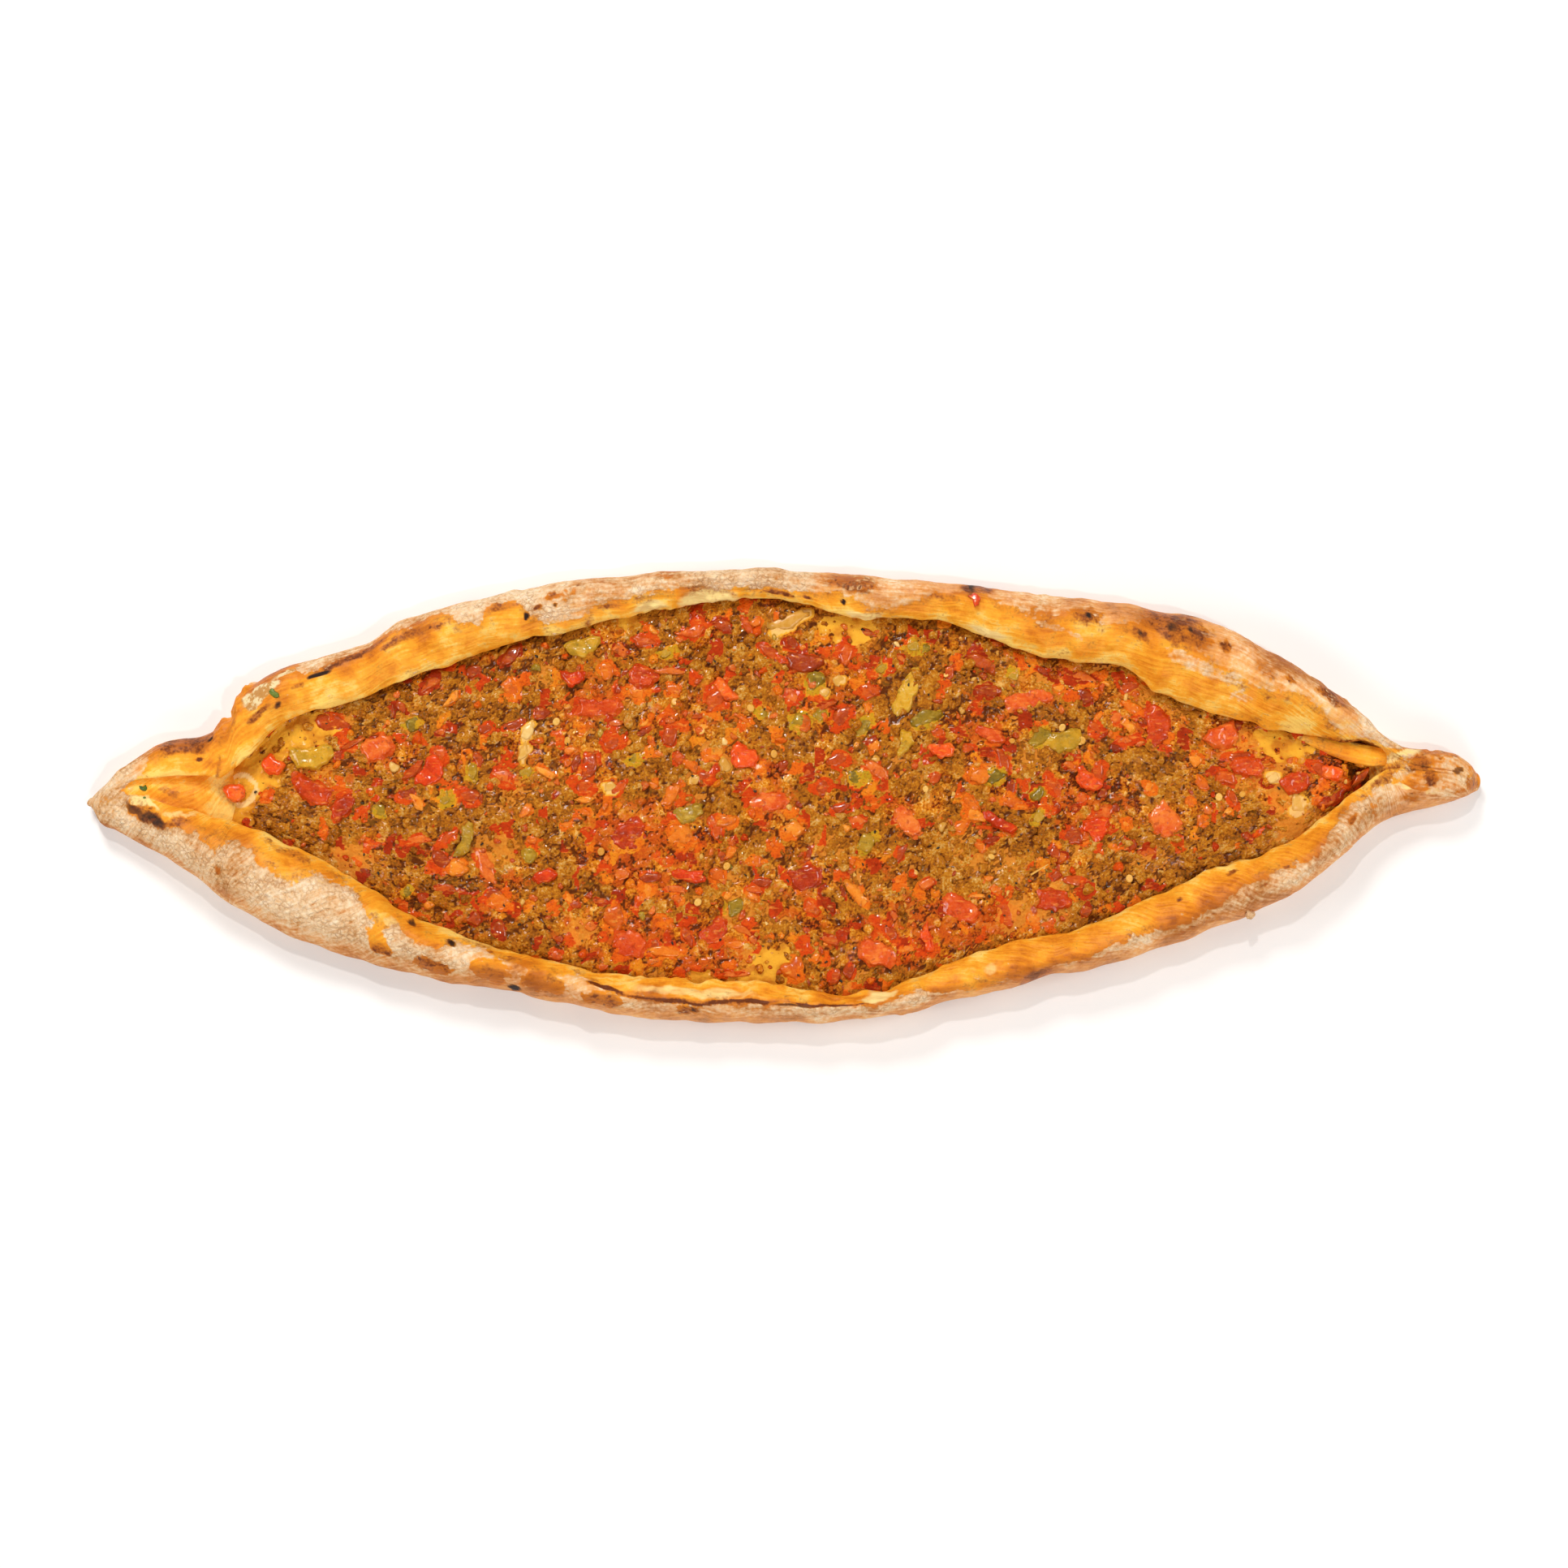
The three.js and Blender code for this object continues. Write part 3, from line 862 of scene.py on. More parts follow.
@dataclass(frozen=True)
class Chunks:
    """Knife-cut pieces: flat above and below, a few uneven cut sides, and soft edges."""

    sides: tuple[int, int] = (3, 5)
    softness: float = 18.0
    detail: int = 3
    ragged: float = 0.15
    widest: float = 0.6

    def forms(self, size: Array, bend: Array, rng: Dice) -> tuple[Array, Array]:
        """Cuts pieces about their own middle.

        Args:
            size: n rows of length, width and thickness.
            bend: n numbers, how far each curves along its length, as a share of its width.
            rng: the source of chance.

        Returns:
            n forms, and the faces of one.
        """
        directions, faces = ball(self.detail)
        n = len(size)
        reach = np.zeros((n, len(directions)))
        for level in (-1, 1):
            tilt = rng.normal(0, 0.08, (n, 2))
            normal = np.concatenate([tilt, np.full((n, 1), float(level))], axis=1)
            reach += np.maximum(0, 2 * normal @ directions.T) ** self.softness
        reach += (np.hypot(directions[:, 0], directions[:, 1]) / self.widest) ** self.softness
        count = rng.integers(self.sides[0], self.sides[1] + 1, n)
        for k in range(self.sides[1]):
            angle = 2 * np.pi * (k + 0.5 * rng.random(n)) / count
            slope = rng.normal(0.1, 0.22, n)
            normal = np.stack([np.cos(angle), np.sin(angle), slope], axis=1)
            depth = rng.uniform(0.32, 0.5, n)
            held = np.maximum(0, normal @ directions.T / depth[:, None]) ** self.softness
            reach += held * (k < count)[:, None]
        forms = directions[None] * reach[..., None] ** (-1 / self.softness)
        forms *= size[:, None, :]
        apart = (forms + 100.0 * np.arange(n)[:, None, None]).reshape(-1, 3)
        rough = swell(apart, (1, 2.6, 5), (0.6, 1.1, 6))
        forms *= 1 + self.ragged * rough.reshape(n, -1, 1) * np.array([1.0, 1.0, 0.5])
        forms[..., 1] += bend[:, None] * size[:, 1:2] * (2 * forms[..., 0] / size[:, :1]) ** 2
        return forms, faces


@dataclass(frozen=True)
class Lumps:
    """Irregular crumbs, longer than they are wide."""

    roughness: float
    detail: int

    def forms(self, size: Array, rng: Dice) -> tuple[Array, Array]:
        """Makes crumbs about their own middle.

        Args:
            size: n rows of length, width and thickness.
            rng: the source of chance.

        Returns:
            n forms, and the faces of one.
        """
        directions, faces = ball(self.detail)
        n = len(size)
        apart = 1.3 * directions[None] + 50.0 * rng.random((n, 1, 3))
        rough = Unevenness(1.0, 11).at(apart.reshape(-1, 3)).reshape(n, -1, 1)
        return directions[None] * (1 + self.roughness * rough) * size[:, None, :] / 2, faces


def in_ellipse(places: Array, row: tuple[float, ...], grown: float = 0.0) -> Array:
    """Measures places by an ellipse.

    Args:
        places: x and y of n points.
        row: its x, y, length, width and turn in degrees.
        grown: how much is added to its half length and half width.

    Returns:
        Each point's distance to the middle: 1 on the ellipse.
    """
    x, y, long, wide, turn = row
    c, s = math.cos(math.radians(turn)), math.sin(math.radians(turn))
    dx, dy = places[:, 0] - x, places[:, 1] - y
    return np.hypot((c * dx + s * dy) / (long / 2 + grown), (c * dy - s * dx) / (wide / 2 + grown))


# ---- The bread ----


class Paint(Enum):
    """What a touch leaves on the dough, by the name of the mark."""

    FLOUR = "flour"
    TOAST = "toast"
    CHAR = "char"
    CREAM = "cream"
    YOLK = "yolk"
    TORN = "torn"
    BARE = "bare"


@dataclass(frozen=True)
class Touch:
    """One patch on a rim, at x along the boat and at a share of the way from outer edge to lip."""

    rim: Rim
    paint: Paint
    x: float
    at: float
    long: float
    wide: float
    strength: float
    slant: float = 0.0

    def amount(self, side: Array, x: Array, across: Array, bend: Array) -> Array:
        """Reads how much it leaves.

        Args:
            side: 1 on the far rim and -1 on the near one.
            x: along the boat.
            across: share of the way across the rim.
            bend: how far the points are pushed about along and across, which makes outlines ragged.

        Returns:
            The amount at each point.
        """
        ragged = min(1.6, min(self.long, 20 * self.wide) / 7)
        x = x + ragged * bend[0]
        off = across + 0.06 * ragged * bend[1] - self.at - self.slant * (x - self.x)
        distance = np.hypot((x - self.x) / (self.long / 2), off / (self.wide / 2))
        return self.strength * rise(1.25, 0.55, distance) * (side == self.rim.value)


F, N = Rim.FAR, Rim.NEAR
# Share of each rim, from its outer edge, that is floured.
FLOURED: dict[Rim, Table] = {
    Rim.FAR: (
        (-226, 2.2), (-216, 2), (-212, 1), (-208, 0.9), (-205, 0.3), (-192, 0.1), (-183, 0),
        (-160, 0.02), (-157, 0.3), (-140, 0.24), (-132, 0.06), (-124, 0.18), (-111, 0.12),
        (-107, 0.4), (-99, 0.48), (-95, 0.2), (-87, 0.24), (-84, 0.55), (-78, 0.8), (-64, 0.84),
        (-57, 0.62), (-44, 0.62), (-34, 0.56), (-27, 0.68), (-22, 0.78), (-15, 0.72), (0, 0.8),
        (8, 0.62), (22, 0.52), (27, 0.78), (37, 0.8), (42, 0.6), (50, 0.42), (58, 0.2), (66, 0.2),
        (72, 0.42), (84, 0.34), (98, 0.3), (106, 0.4), (116, 0.3), (128, 0.3), (140, 0.5),
        (150, 0.62), (165, 0.5), (175, 0.55), (181, 0.9), (188, 0.93), (196, 0.93), (199, 0.6),
        (203, -0.4), (226, -0.4),
    ),
    Rim.NEAR: (
        (-226, 2.2), (-216, 2), (-212, 0.9), (-207, 0.62), (-198, 0.6), (-190, 0.62), (-183, 0.55),
        (-178, 0.72), (-172, 0.72), (-169, 0.52), (-160, 0.55), (-155, 0.66), (-150, 0.76),
        (-138, 0.8), (-134, 0.6), (-129, 0.5), (-124, 0.72), (-119, 0.45), (-110, 0.5), (-105, 0.8),
        (-97, 0.82), (-90, 0.6), (-82, 0.62), (-76, 0.5), (-68, 0.7), (-62, 0.68), (-56, 0.44),
        (-46, 0.38), (-30, 0.3), (-22, 0.36), (-6, 0.42), (8, 0.44), (22, 0.4), (28, 0.3),
        (33, 0.42), (42, 0.55), (46, 0.4), (51, 0.14), (60, 0.08), (84, 0.06), (98, 0.14),
        (103, 0.26), (108, 0.26), (118, 0.24), (130, 0.2), (144, 0.32), (150, 0.5), (164, 0.46),
        (174, 0.4), (178, 0.68), (184, 0.8), (190, 0.66), (196, 0.62), (204, 0.42), (212, 0.34),
        (226, 0.3),
    ),
}
# How thickly each rim is floured there.
THICK: dict[Rim, Table] = {
    Rim.FAR: (
        (-226, 1), (-213, 0.9), (-205, 0.4), (-158, 0.8), (-135, 0.7), (-110, 0.8), (-85, 0.9),
        (-66, 0.7), (-40, 0.75), (-12, 1), (8, 0.85), (16, 0.35), (26, 0.6), (38, 0.6), (48, 0.35),
        (62, 0.2), (74, 0.5), (90, 0.55), (104, 0.35), (112, 0.1), (138, 0.1), (146, 0.4),
        (172, 0.5), (182, 0.35), (190, 0.8), (202, 0.8), (208, 0.2), (214, 0.7), (226, 0.4),
    ),
    Rim.NEAR: (
        (-226, 0.9), (-200, 0.95), (-120, 0.9), (-105, 0.75), (-88, 0.5), (-60, 0.5), (-48, 0.7),
        (-20, 0.5), (8, 0.8), (46, 0.8), (60, 0.4), (100, 0.75), (150, 0.75), (190, 0.85),
        (204, 0.4), (214, 0.7), (226, 0.5),
    ),
}
# Patches that the oven, the flour and the tearing left: x, share of the way across, length, width,
# strength and, for some, slant.
TOUCHES: tuple[Touch, ...] = tuple(
    Touch(rim, paint, *row)
    for rim, paint, rows in (
        (F, Paint.TOAST, (
            (-196, 0.2, 24, 0.56, 0.8), (-204, 0.4, 8, 0.5, 0.5),
            (-183, 0.86, 2.2, 0.3, 0.7, -0.05), (-188, 0.3, 7, 0.3, 0.6),
            (-189.5, 0.62, 2.6, 0.1, 1.2), (-181, 0.4, 6, 0.5, 0.5), (-164, 0.02, 14, 0.12, 0.6),
            (-171, 0.58, 9, 0.16, 0.7), (-158, 0.48, 5, 0.12, 0.6),
            (-140, 0.24, 26, 0.16, 1, -0.009), (-121, 0.34, 22, 0.2, 0.75),
            (-92, 0.32, 16, 0.18, 0.6), (-80.5, 0.48, 4, 0.14, 0.9), (-75.5, 0.34, 5, 0.2, 0.75),
            (-69, 0.32, 10, 0.4, 0.5), (-57, 0.74, 11, 0.1, 0.7), (-53, 0.2, 12, 0.34, 0.42),
            (-38, 0.14, 9, 0.4, 0.6), (-31, 0.58, 12, 0.12, 0.6), (-2, 0.84, 14, 0.12, 0.8),
            (7.5, 0.8, 3, 0.1, 1), (22, 0.24, 22, 0.5, 0.7), (51, 0.42, 14, 0.34, 0.5),
            (63, 0.08, 14, 0.3, 0.9), (84, 0.42, 22, 0.4, 0.42), (99, 0.3, 14, 0.4, 0.7),
            (116, 0.44, 7, 0.24, 0.7), (128, 0.18, 28, 0.46, 0.85), (144.3, 0.26, 5, 0.2, 1),
            (157, 0.36, 8, 0.2, 0.55), (164.6, 0.34, 4, 0.16, 0.8), (166, 0.52, 16, 0.14, 0.4),
            (178, 0.26, 12, 0.36, 0.8), (153, 0.95, 30, 0.08, 0.5), (184, 1.04, 24, 0.2, 0.8),
            (96, 0.5, 64, 1.1, 0.2), (170, 0.1, 46, 0.34, 0.42), (124, 0.06, 30, 0.3, 0.4),
            (197, 0.3, 10, 0.5, 0.3),
        )),
        (F, Paint.FLOUR, (
            (-204, 0.14, 16, 0.2, 0.55), (88, 0.55, 24, 0.1, 0.8, 0.011),
            (136, 0.58, 26, 0.2, 0.8, 0.004), (148, 0.75, 8, 0.16, 0.7),
        )),
        (F, Paint.CHAR, (
            (-186.5, 0.28, 2.4, 0.1, 0.9), (-164.5, 0.65, 2.6, 0.12, 0.8),
            (-151.5, 0.4, 8, 0.08, 1.3), (-84.2, 0.6, 1.6, 0.16, 1.2), (-74.6, 0.5, 1.8, 0.08, 0.8),
            (19.2, 0.7, 1.8, 0.14, 1.3), (61.5, 0.06, 2.6, 0.3, 0.8), (99.3, 0.3, 2.2, 0.1, 1.2),
            (116, 0.43, 2.2, 0.1, 0.8), (126.5, 0.2, 4, 0.1, 0.8), (132.5, 0.18, 2.6, 0.08, 0.9),
            (186, 1.08, 18, 0.1, 0.8),
        )),
        (F, Paint.TORN, (
            (-170, 0.3, 13, 0.34, 1), (-162, 0.16, 9, 0.12, 0.7),
        )),
        (F, Paint.CREAM, (
            (-44, 0.86, 12, 0.24, 0.9), (-24, 0.92, 20, 0.5, 1.1), (26, 0.92, 14, 0.16, 0.9),
            (66, 0.9, 14, 0.14, 0.8),
        )),
        (N, Paint.TOAST, (
            (-182, 0.27, 3, 0.14, 0.7), (-181, 0.72, 14, 0.18, 0.45), (-160, 0.84, 18, 0.12, 0.6),
            (-129, 0.14, 8, 0.2, 0.9), (-113, 0.12, 16, 0.26, 0.7), (-95, 0.26, 13, 0.5, 0.45),
            (-76, 0.36, 17, 0.5, 0.5), (-94, 0.74, 3, 0.12, 0.8), (-84, 0.74, 14, 0.1, 0.5),
            (-57, 0.2, 15, 0.4, 0.7), (-57, 0.52, 14, 0.13, 1.3, -0.014),
            (-37, 0.34, 34, 0.11, 1.3, -0.003), (-30.5, 0.16, 10, 0.24, 0.8),
            (-14, 0.3, 9, 0.3, 0.55), (-14, 0.42, 28, 0.11, 1.3, 0.004),
            (14, 0.45, 28, 0.1, 1.2, -0.002), (36, 0.44, 20, 0.08, 0.5, 0.006),
            (81, 0, 14, 0.3, 0.8), (69, 0.05, 14, 0.12, 0.5), (127, 0.66, 2.4, 0.12, 0.9),
            (132, 0.06, 20, 0.14, 0.5), (144, 0.76, 4, 0.1, 0.8), (154, 0.36, 5, 0.1, 0.7),
            (161.5, 0.5, 2.4, 0.1, 0.9), (183.4, 0.46, 3, 0.16, 1), (190, 0.35, 9, 0.5, 0.5),
        )),
        (N, Paint.CREAM, (
            (-148, 0.66, 10, 0.16, 0.7), (-126, 0.66, 6, 0.2, 0.6), (-28, 0.6, 46, 0.3, 0.55),
            (30, 0.68, 12, 0.5, 0.8), (66, 0.42, 5, 0.34, 0.5),
        )),
        (N, Paint.BARE, (
            (-130, 0.28, 9, 0.4, 1), (-112, 0.14, 14, 0.22, 0.8), (-94, 0.34, 14, 0.6, 0.95),
            (-58, 0.26, 14, 0.34, 0.7), (-77, 0.34, 17, 0.66, 0.95),
        )),
        (N, Paint.CHAR, (
            (-119.3, 0.78, 3, 0.14, 0.8), (-106, 0.7, 3, 0.14, 0.8), (-86.2, 0.02, 3.4, 0.14, 1.2),
            (-29, 0.16, 2.4, 0.1, 0.8), (3, 0.41, 14, 0.06, 0.7), (80.5, 0.02, 7, 0.2, 0.5),
        )),
    )
    for row in rows
)
# Patches at the two ends, where the rims run together: strength, x, y, length, width and turn.
SPOTS: dict[Paint, Rows] = {
    Paint.CHAR: (
        (0.7, -209.6, -4.6, 8.5, 3.2, -38), (0.75, -203.8, -8.3, 10, 3.8, -24),
        (0.6, 217.9, 7.6, 2.4, 2.4, 0),
    ),
    Paint.TOAST: (
        (0.7, -205, -7.2, 18, 5.5, -30), (0.75, -196, -9.2, 9, 3.6, 8),
        (0.6, -198.5, 0.8, 9, 2.6, -10), (0.75, 206, 9.6, 10, 6.5, 22), (0.8, 209.5, 5.6, 6, 7, 0),
        (0.55, 214, 12.8, 13, 2.6, -12), (0.6, 202.5, -1.6, 7, 3, 8),
        (0.6, 194.5, 5.6, 13, 4.5, 42), (0.26, 209, 7, 27, 15, 0), (0.3, -218, -1.5, 12, 6, 40),
        (0.6, 221.5, 4.4, 5, 6.5, 0),
    ),
    Paint.CREAM: (
        (1, -207, -2.6, 12, 2.4, -25), (0.5, -195, -6.4, 13, 2.2, -3),
        (0.9, 200, 12.4, 14, 3.4, 18), (1, 200.5, 2, 7, 1.6, -15), (0.7, 209, 0.4, 6, 2.2, 5),
    ),
    Paint.FLOUR: (
        (0.9, 192.5, -0.4, 10, 5.5, 35), (0.7, 210, 7, 30, 16, 0), (0.95, 217.5, 6.4, 10, 11, 0),
        (0.6, 205.5, 4.8, 7, 3, 20), (0.8, 214, 0.6, 12, 3.4, 8),
    ),
}


@dataclass
class BreadBoat:
    """The bread: one closed skin through the solid's cross sections, puffed, torn and painted."""

    node: str = "bread_boat"
    seed: int = 3
    # Distance between rings, and into how many steps each stretch of half a section is divided.
    spacing: float = 0.8
    steps: tuple[int, ...] = (3, 4, 7, 8, 6, 6, 6, 5, 3, 3, 2, 5)
    under_steps: int = 5
    # Layers of unevenness: height, width of the lumps and seed.
    kneaded: Layers = ((0.5, 21, 1), (0.28, 8.5, 2), (0.1, 2.6, 3))
    sunk: float = 0.175
    torn_layers: Layers = ((0.9, 2.2, 5),)
    # Stretches of a lip that puffed up: rim, first and last x, how far in it starts, and height.
    puffs: tuple[tuple[Rim, float, float, float, float], ...] = (
        (F, -52, -8, 0.72, 1.3), (F, 18, 36, 0.85, 0.9), (N, -62, 36, 0.45, 0.8),
    )
    puffed: Layers = ((0.55, 4.4, 7), (0.3, 2, 8))
    ragged_lip: float = 0.45
    blisters: int = 70
    blister_size: tuple[float, float] = (1.6, 4.2)
    blister_height: tuple[float, float] = (0.2, 0.7)
    crowded: int = 3
    top_margin: float = 0.4
    end_bulge: float = 1.2
    end_rings: int = 5
    browning: float = 0.4
    # How the knob on the right is rolled and the tip on the left is closed, by x.
    knob_from: tuple[float, float] = (195, 201)
    knob_rise: float = 0.7
    tip_from: tuple[float, float] = (-209, -216)
    tip_bulge: float = 1.0
    tip_slope: tuple[float, float] = (-175, -190)
    tip_rise: float = 4.5
    # The paint is placed as seen from this height, on this level.
    seen_from: float = 710
    seen_level: float = 8
    stations: Array = field(init=False)
    sections: Array = field(init=False)
    skin: Array = field(init=False)

    # The solid's cross section has these points, counted from the far foot round to the underside.
    # The near rim's twin of the far rim's point k is TWINS - k.
    EDGE, CREST, LIP, ROOT, FLOOR, TWINS, POINTS = 2, 4, 8, 10, 12, 24, 26
    # Across a rim, as a share from outer edge to lip, for the points that lie outside that stretch.
    BEYOND = (
        (-1, -1), (0, -0.45), (1, -0.2), (2, 0), (8, 1), (9, 1.06), (10, 1.2), (11, 1.3), (12, 1.6),
    )

    def __post_init__(self) -> None:
        """Reads the solid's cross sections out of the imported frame."""
        self.stations, self.sections = self.read_sections()

    def read_sections(self) -> tuple[Array, Array]:
        """Walks round each of the solid's rings of points.

        Returns:
            The x of each ring, and its points' y and z in order.
        """
        form = bmesh.new()
        form.from_mesh(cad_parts[self.node].data)
        bmesh.ops.remove_doubles(form, verts=form.verts, dist=2e-6)
        groups: dict[int, list[bmesh.types.BMVert]] = {}
        for vert in form.verts:
            groups.setdefault(round(vert.co.x * 1e5), []).append(vert)
        rings = []
        for key in sorted(groups):
            members = set(groups[key])
            links = {v: [e.other_vert(v) for e in v.link_edges] for v in members}
            links = {v: [other for other in ends if other in members] for v, ends in links.items()}
            hubs = {v for v in members if len(links[v]) > self.POINTS // 2}
            edge = max(members - hubs, key=lambda v: v.co.y)
            walk = [edge, max(set(links[edge]) - hubs, key=lambda v: v.co.z)]
            while len(walk) < self.POINTS:
                walk.append(next(v for v in links[walk[-1]] if v not in hubs and v is not walk[-2]))
            ring = walk[-self.EDGE :] + walk[: -self.EDGE]
            rings.append([v.co[:] for v in ring])
        form.free()
        points = np.array(rings) / MM
        return points[:, 0, 0], points[:, :, 1:]

    def line(self, point: int, axis: int, x: Array) -> Array:
        """Reads the y (axis 0) or z (axis 1) of one point of the cross section, at each x."""
        return np.interp(x, self.stations, self.sections[:, point, axis])

    def lip(self, rim: Rim, x: Array) -> Array:
        """Gives the y of a rim's lip at each x."""
        return self.line(self.LIP if rim is F else self.TWINS - self.LIP, 0, x)

    def root(self, rim: Rim, x: Array) -> Array:
        """Gives the y at which a rim's folded edge springs from the bread, at each x."""
        return self.line(self.ROOT if rim is F else self.TWINS - self.ROOT, 0, x)

    def round_ring(self, rings: Array) -> tuple[Array, Array]:
        """Draws a smooth closed line through each ring's points.

        Args:
            rings: n rings of y and z.

        Returns:
            The denser rings, and the place of each of their points in the solid's own numbering.
        """
        after = np.roll(rings, -1, axis=1) - rings
        length = np.linalg.norm(after, axis=2, keepdims=True) + TINY
        before = np.roll(length, 1, axis=1)
        slope = after / length
        tangent = (np.roll(slope, 1, axis=1) * length + slope * before) / (length + before)
        steps = [*self.steps, *self.steps[::-1], self.under_steps, self.under_steps]
        parts, place = [], []
        for k, count in enumerate(steps):
            t = (np.arange(count) / count)[None, :, None]
            ends = [k, (k + 1) % self.POINTS]
            (start, end), far = rings[:, ends].swapaxes(0, 1)[:, :, None], length[:, k : k + 1]
            leave, arrive = (far * tangent[:, [i]] for i in ends)
            parts.append(hermite(t, start, end, leave, arrive))
            place.append(k + t[0, :, 0])
        return np.concatenate(parts, axis=1), np.concatenate(place)

    def folded_ends(self, x: Array, sections: Array) -> Array:
        """Rolls the near rim over the far one on the knob, and lifts the dough in the left fold.

        Args:
            x: where the cross sections are.
            sections: their points' y and z.

        Returns:
            The changed cross sections.
        """
        made = sections.copy()
        last = self.TWINS - self.CREST
        far, near = made[:, self.CREST], made[:, last]
        for k in range(self.CREST + 1, last):
            t = np.clip((far[:, 0] - made[:, k, 0]) / (far[:, 0] - near[:, 0] + TINY), 0, 1)
            level = far[:, 1] + (near[:, 1] - far[:, 1]) * t + 4 * self.knob_rise * t * (1 - t)
            made[:, k, 1] += rise(*self.knob_from, x) * (level - made[:, k, 1])
        share = np.arange(last - self.CREST + 1) / (last - self.CREST)
        closed = far[:, None] + (near - far)[:, None] * share[:, None]
        closed[..., 1] += 4 * self.tip_bulge * share * (1 - share)
        folded = made[:, self.CREST : last + 1]
        folded += rise(*self.tip_from, x)[:, None, None] * (closed - folded)
        gap = made[:, self.ROOT, 1] - made[:, self.ROOT + 1, 1]
        lift = rise(*self.tip_slope, x) * np.clip(gap - 1, 0, self.tip_rise)
        for k in (self.FLOOR - 1, self.FLOOR, self.FLOOR + 1):
            made[:, k, 1] += lift
        return made

    def rounded_ends(self, rings: Array) -> Array:
        """Adds smaller and smaller rings at both ends, so that the tips are round.

        Args:
            rings: n rings of points.

        Returns:
            More rings.
        """
        caps = []
        for ring, way in ((rings[0], -1), (rings[-1], 1)):
            middle = ring.mean(axis=0)
            turned = np.linspace(0, 0.46 * np.pi, self.end_rings + 1)
            sizes = np.cos(turned)[1:, None, None]
            cap = middle + (ring - middle)[None] * sizes
            cap[..., 0] += way * self.end_bulge * np.sqrt(1 - sizes[..., 0] ** 2)
            caps.append(cap)
        return np.concatenate([caps[0][::-1], rings, caps[1]])

    def outward(self, rings: Array) -> Array:
        """Finds which way is out.

        Args:
            rings: n rings of m points.

        Returns:
            The unit normal at each point.
        """
        length = np.gradient(rings, axis=0)
        round_way = np.roll(rings, -1, axis=1) - np.roll(rings, 1, axis=1)
        normal = np.cross(round_way, length)
        return normal / (np.linalg.norm(normal, axis=2, keepdims=True) + LEAST)

    def swelling(self, points: Array, side: Array, across: Array) -> Array:
        """Says how far each point of the skin stands out.

        Args:
            points: the skin's points.
            side: 1 on the far rim, -1 on the near one.
            across: share of the way across the rim.

        Returns:
            The distances along the normals.
        """
        rng = np.random.default_rng(self.seed)
        x, far, near = points[:, 0], side > 0, side < 0
        total = swell(points, *self.kneaded) - self.sunk
        # Creases pulled towards the knob.
        fold = swell(points * np.array([0.35, 1, 1]), (1, 5, 4))
        pulled = np.stack([0.1 * x, points[:, 1] + 0.22 * x], axis=1)
        creases = 0.3 * np.abs(fold) + 0.42 * np.abs(swell(pulled, (1, 2.3, 6)))
        total += rise(100, 150, x) * far * creases * rise(0.75, 0.5, across)
        # Blisters, which crowd where the far rim was nearest to the fire.
        crust = np.flatnonzero((across > 0) & (across < 0.85) & (np.abs(x) < 215))
        weight = 1 + self.crowded * ((x[crust] > 80) & far[crust])
        for index in rng.choice(crust, self.blisters, replace=False, p=weight / weight.sum()):
            radius, height = rng.uniform(*self.blister_size), rng.uniform(*self.blister_height)
            distance = np.linalg.norm(points - points[index], axis=1) / radius
            total += height * np.clip(1 - distance**2, 0, 1) ** 2
        # The groove where the knob's dough is rolled over, and the pinch beside it.
        tucked = rise(0.14, 0, np.abs(across - 0.96 + 0.085 * (x - 198.5)))
        total -= 1.2 * tucked * far * rise(195, 198, x) * rise(213, 206, x)
        pinch = rise(0.09, 0, np.abs(across - 0.55)) * rise(5, 2, np.abs(x - 200.5))
        total -= 0.7 * pinch * near
        for rim, start, end, inner, height in self.puffs:
            there = rise(0, 6, np.minimum(x - start, end - x)) * (side == rim.value)
            there *= rise(inner, inner + 0.14, across)
            total += height * there * swell(points, *self.puffed)
        # The torn place at the left end of the far rim.
        torn = rise(9, 3, np.abs(x + 178)) * far * rise(0.6, 0.2, across)
        return total + torn * (swell(points, *self.torn_layers) - 0.2)

    def marks(self, points: Array, side: Array, across: Array) -> Marks:
        """Paints flour, toast, painted shade, char, cream and torn crumb on the skin's points.

        Args:
            points: the skin's points.
            side: 1 on the far rim, -1 on the near one.
            across: share of the way across the rim.

        Returns:
            Each mark's amounts.
        """
        above = points[:, 2] - self.seen_level
        seen = points[:, :2] * (1 + above[:, None] / self.seen_from)
        bend = [
            swell(points, (0.6, 6, k), (0.5, 2.4, k + 1), (0.35, 1.2, k + 2)) for k in (21, 26)
        ]
        x, near = seen[:, 0] + bend[0], side < 0
        v = across + side * (points[:, 1] - seen[:, 1]) / 20 - 0.06 * near
        amounts = {name: np.zeros(len(points)) for name in (*(p.value for p in Paint), "thick")}
        for rim in Rim:
            here = side == rim.value
            edge, bent = along(FLOURED[rim], x), v + 0.07 * bend[1]
            amounts["flour"] += here * rise(edge + 0.08, edge - 0.08, bent)
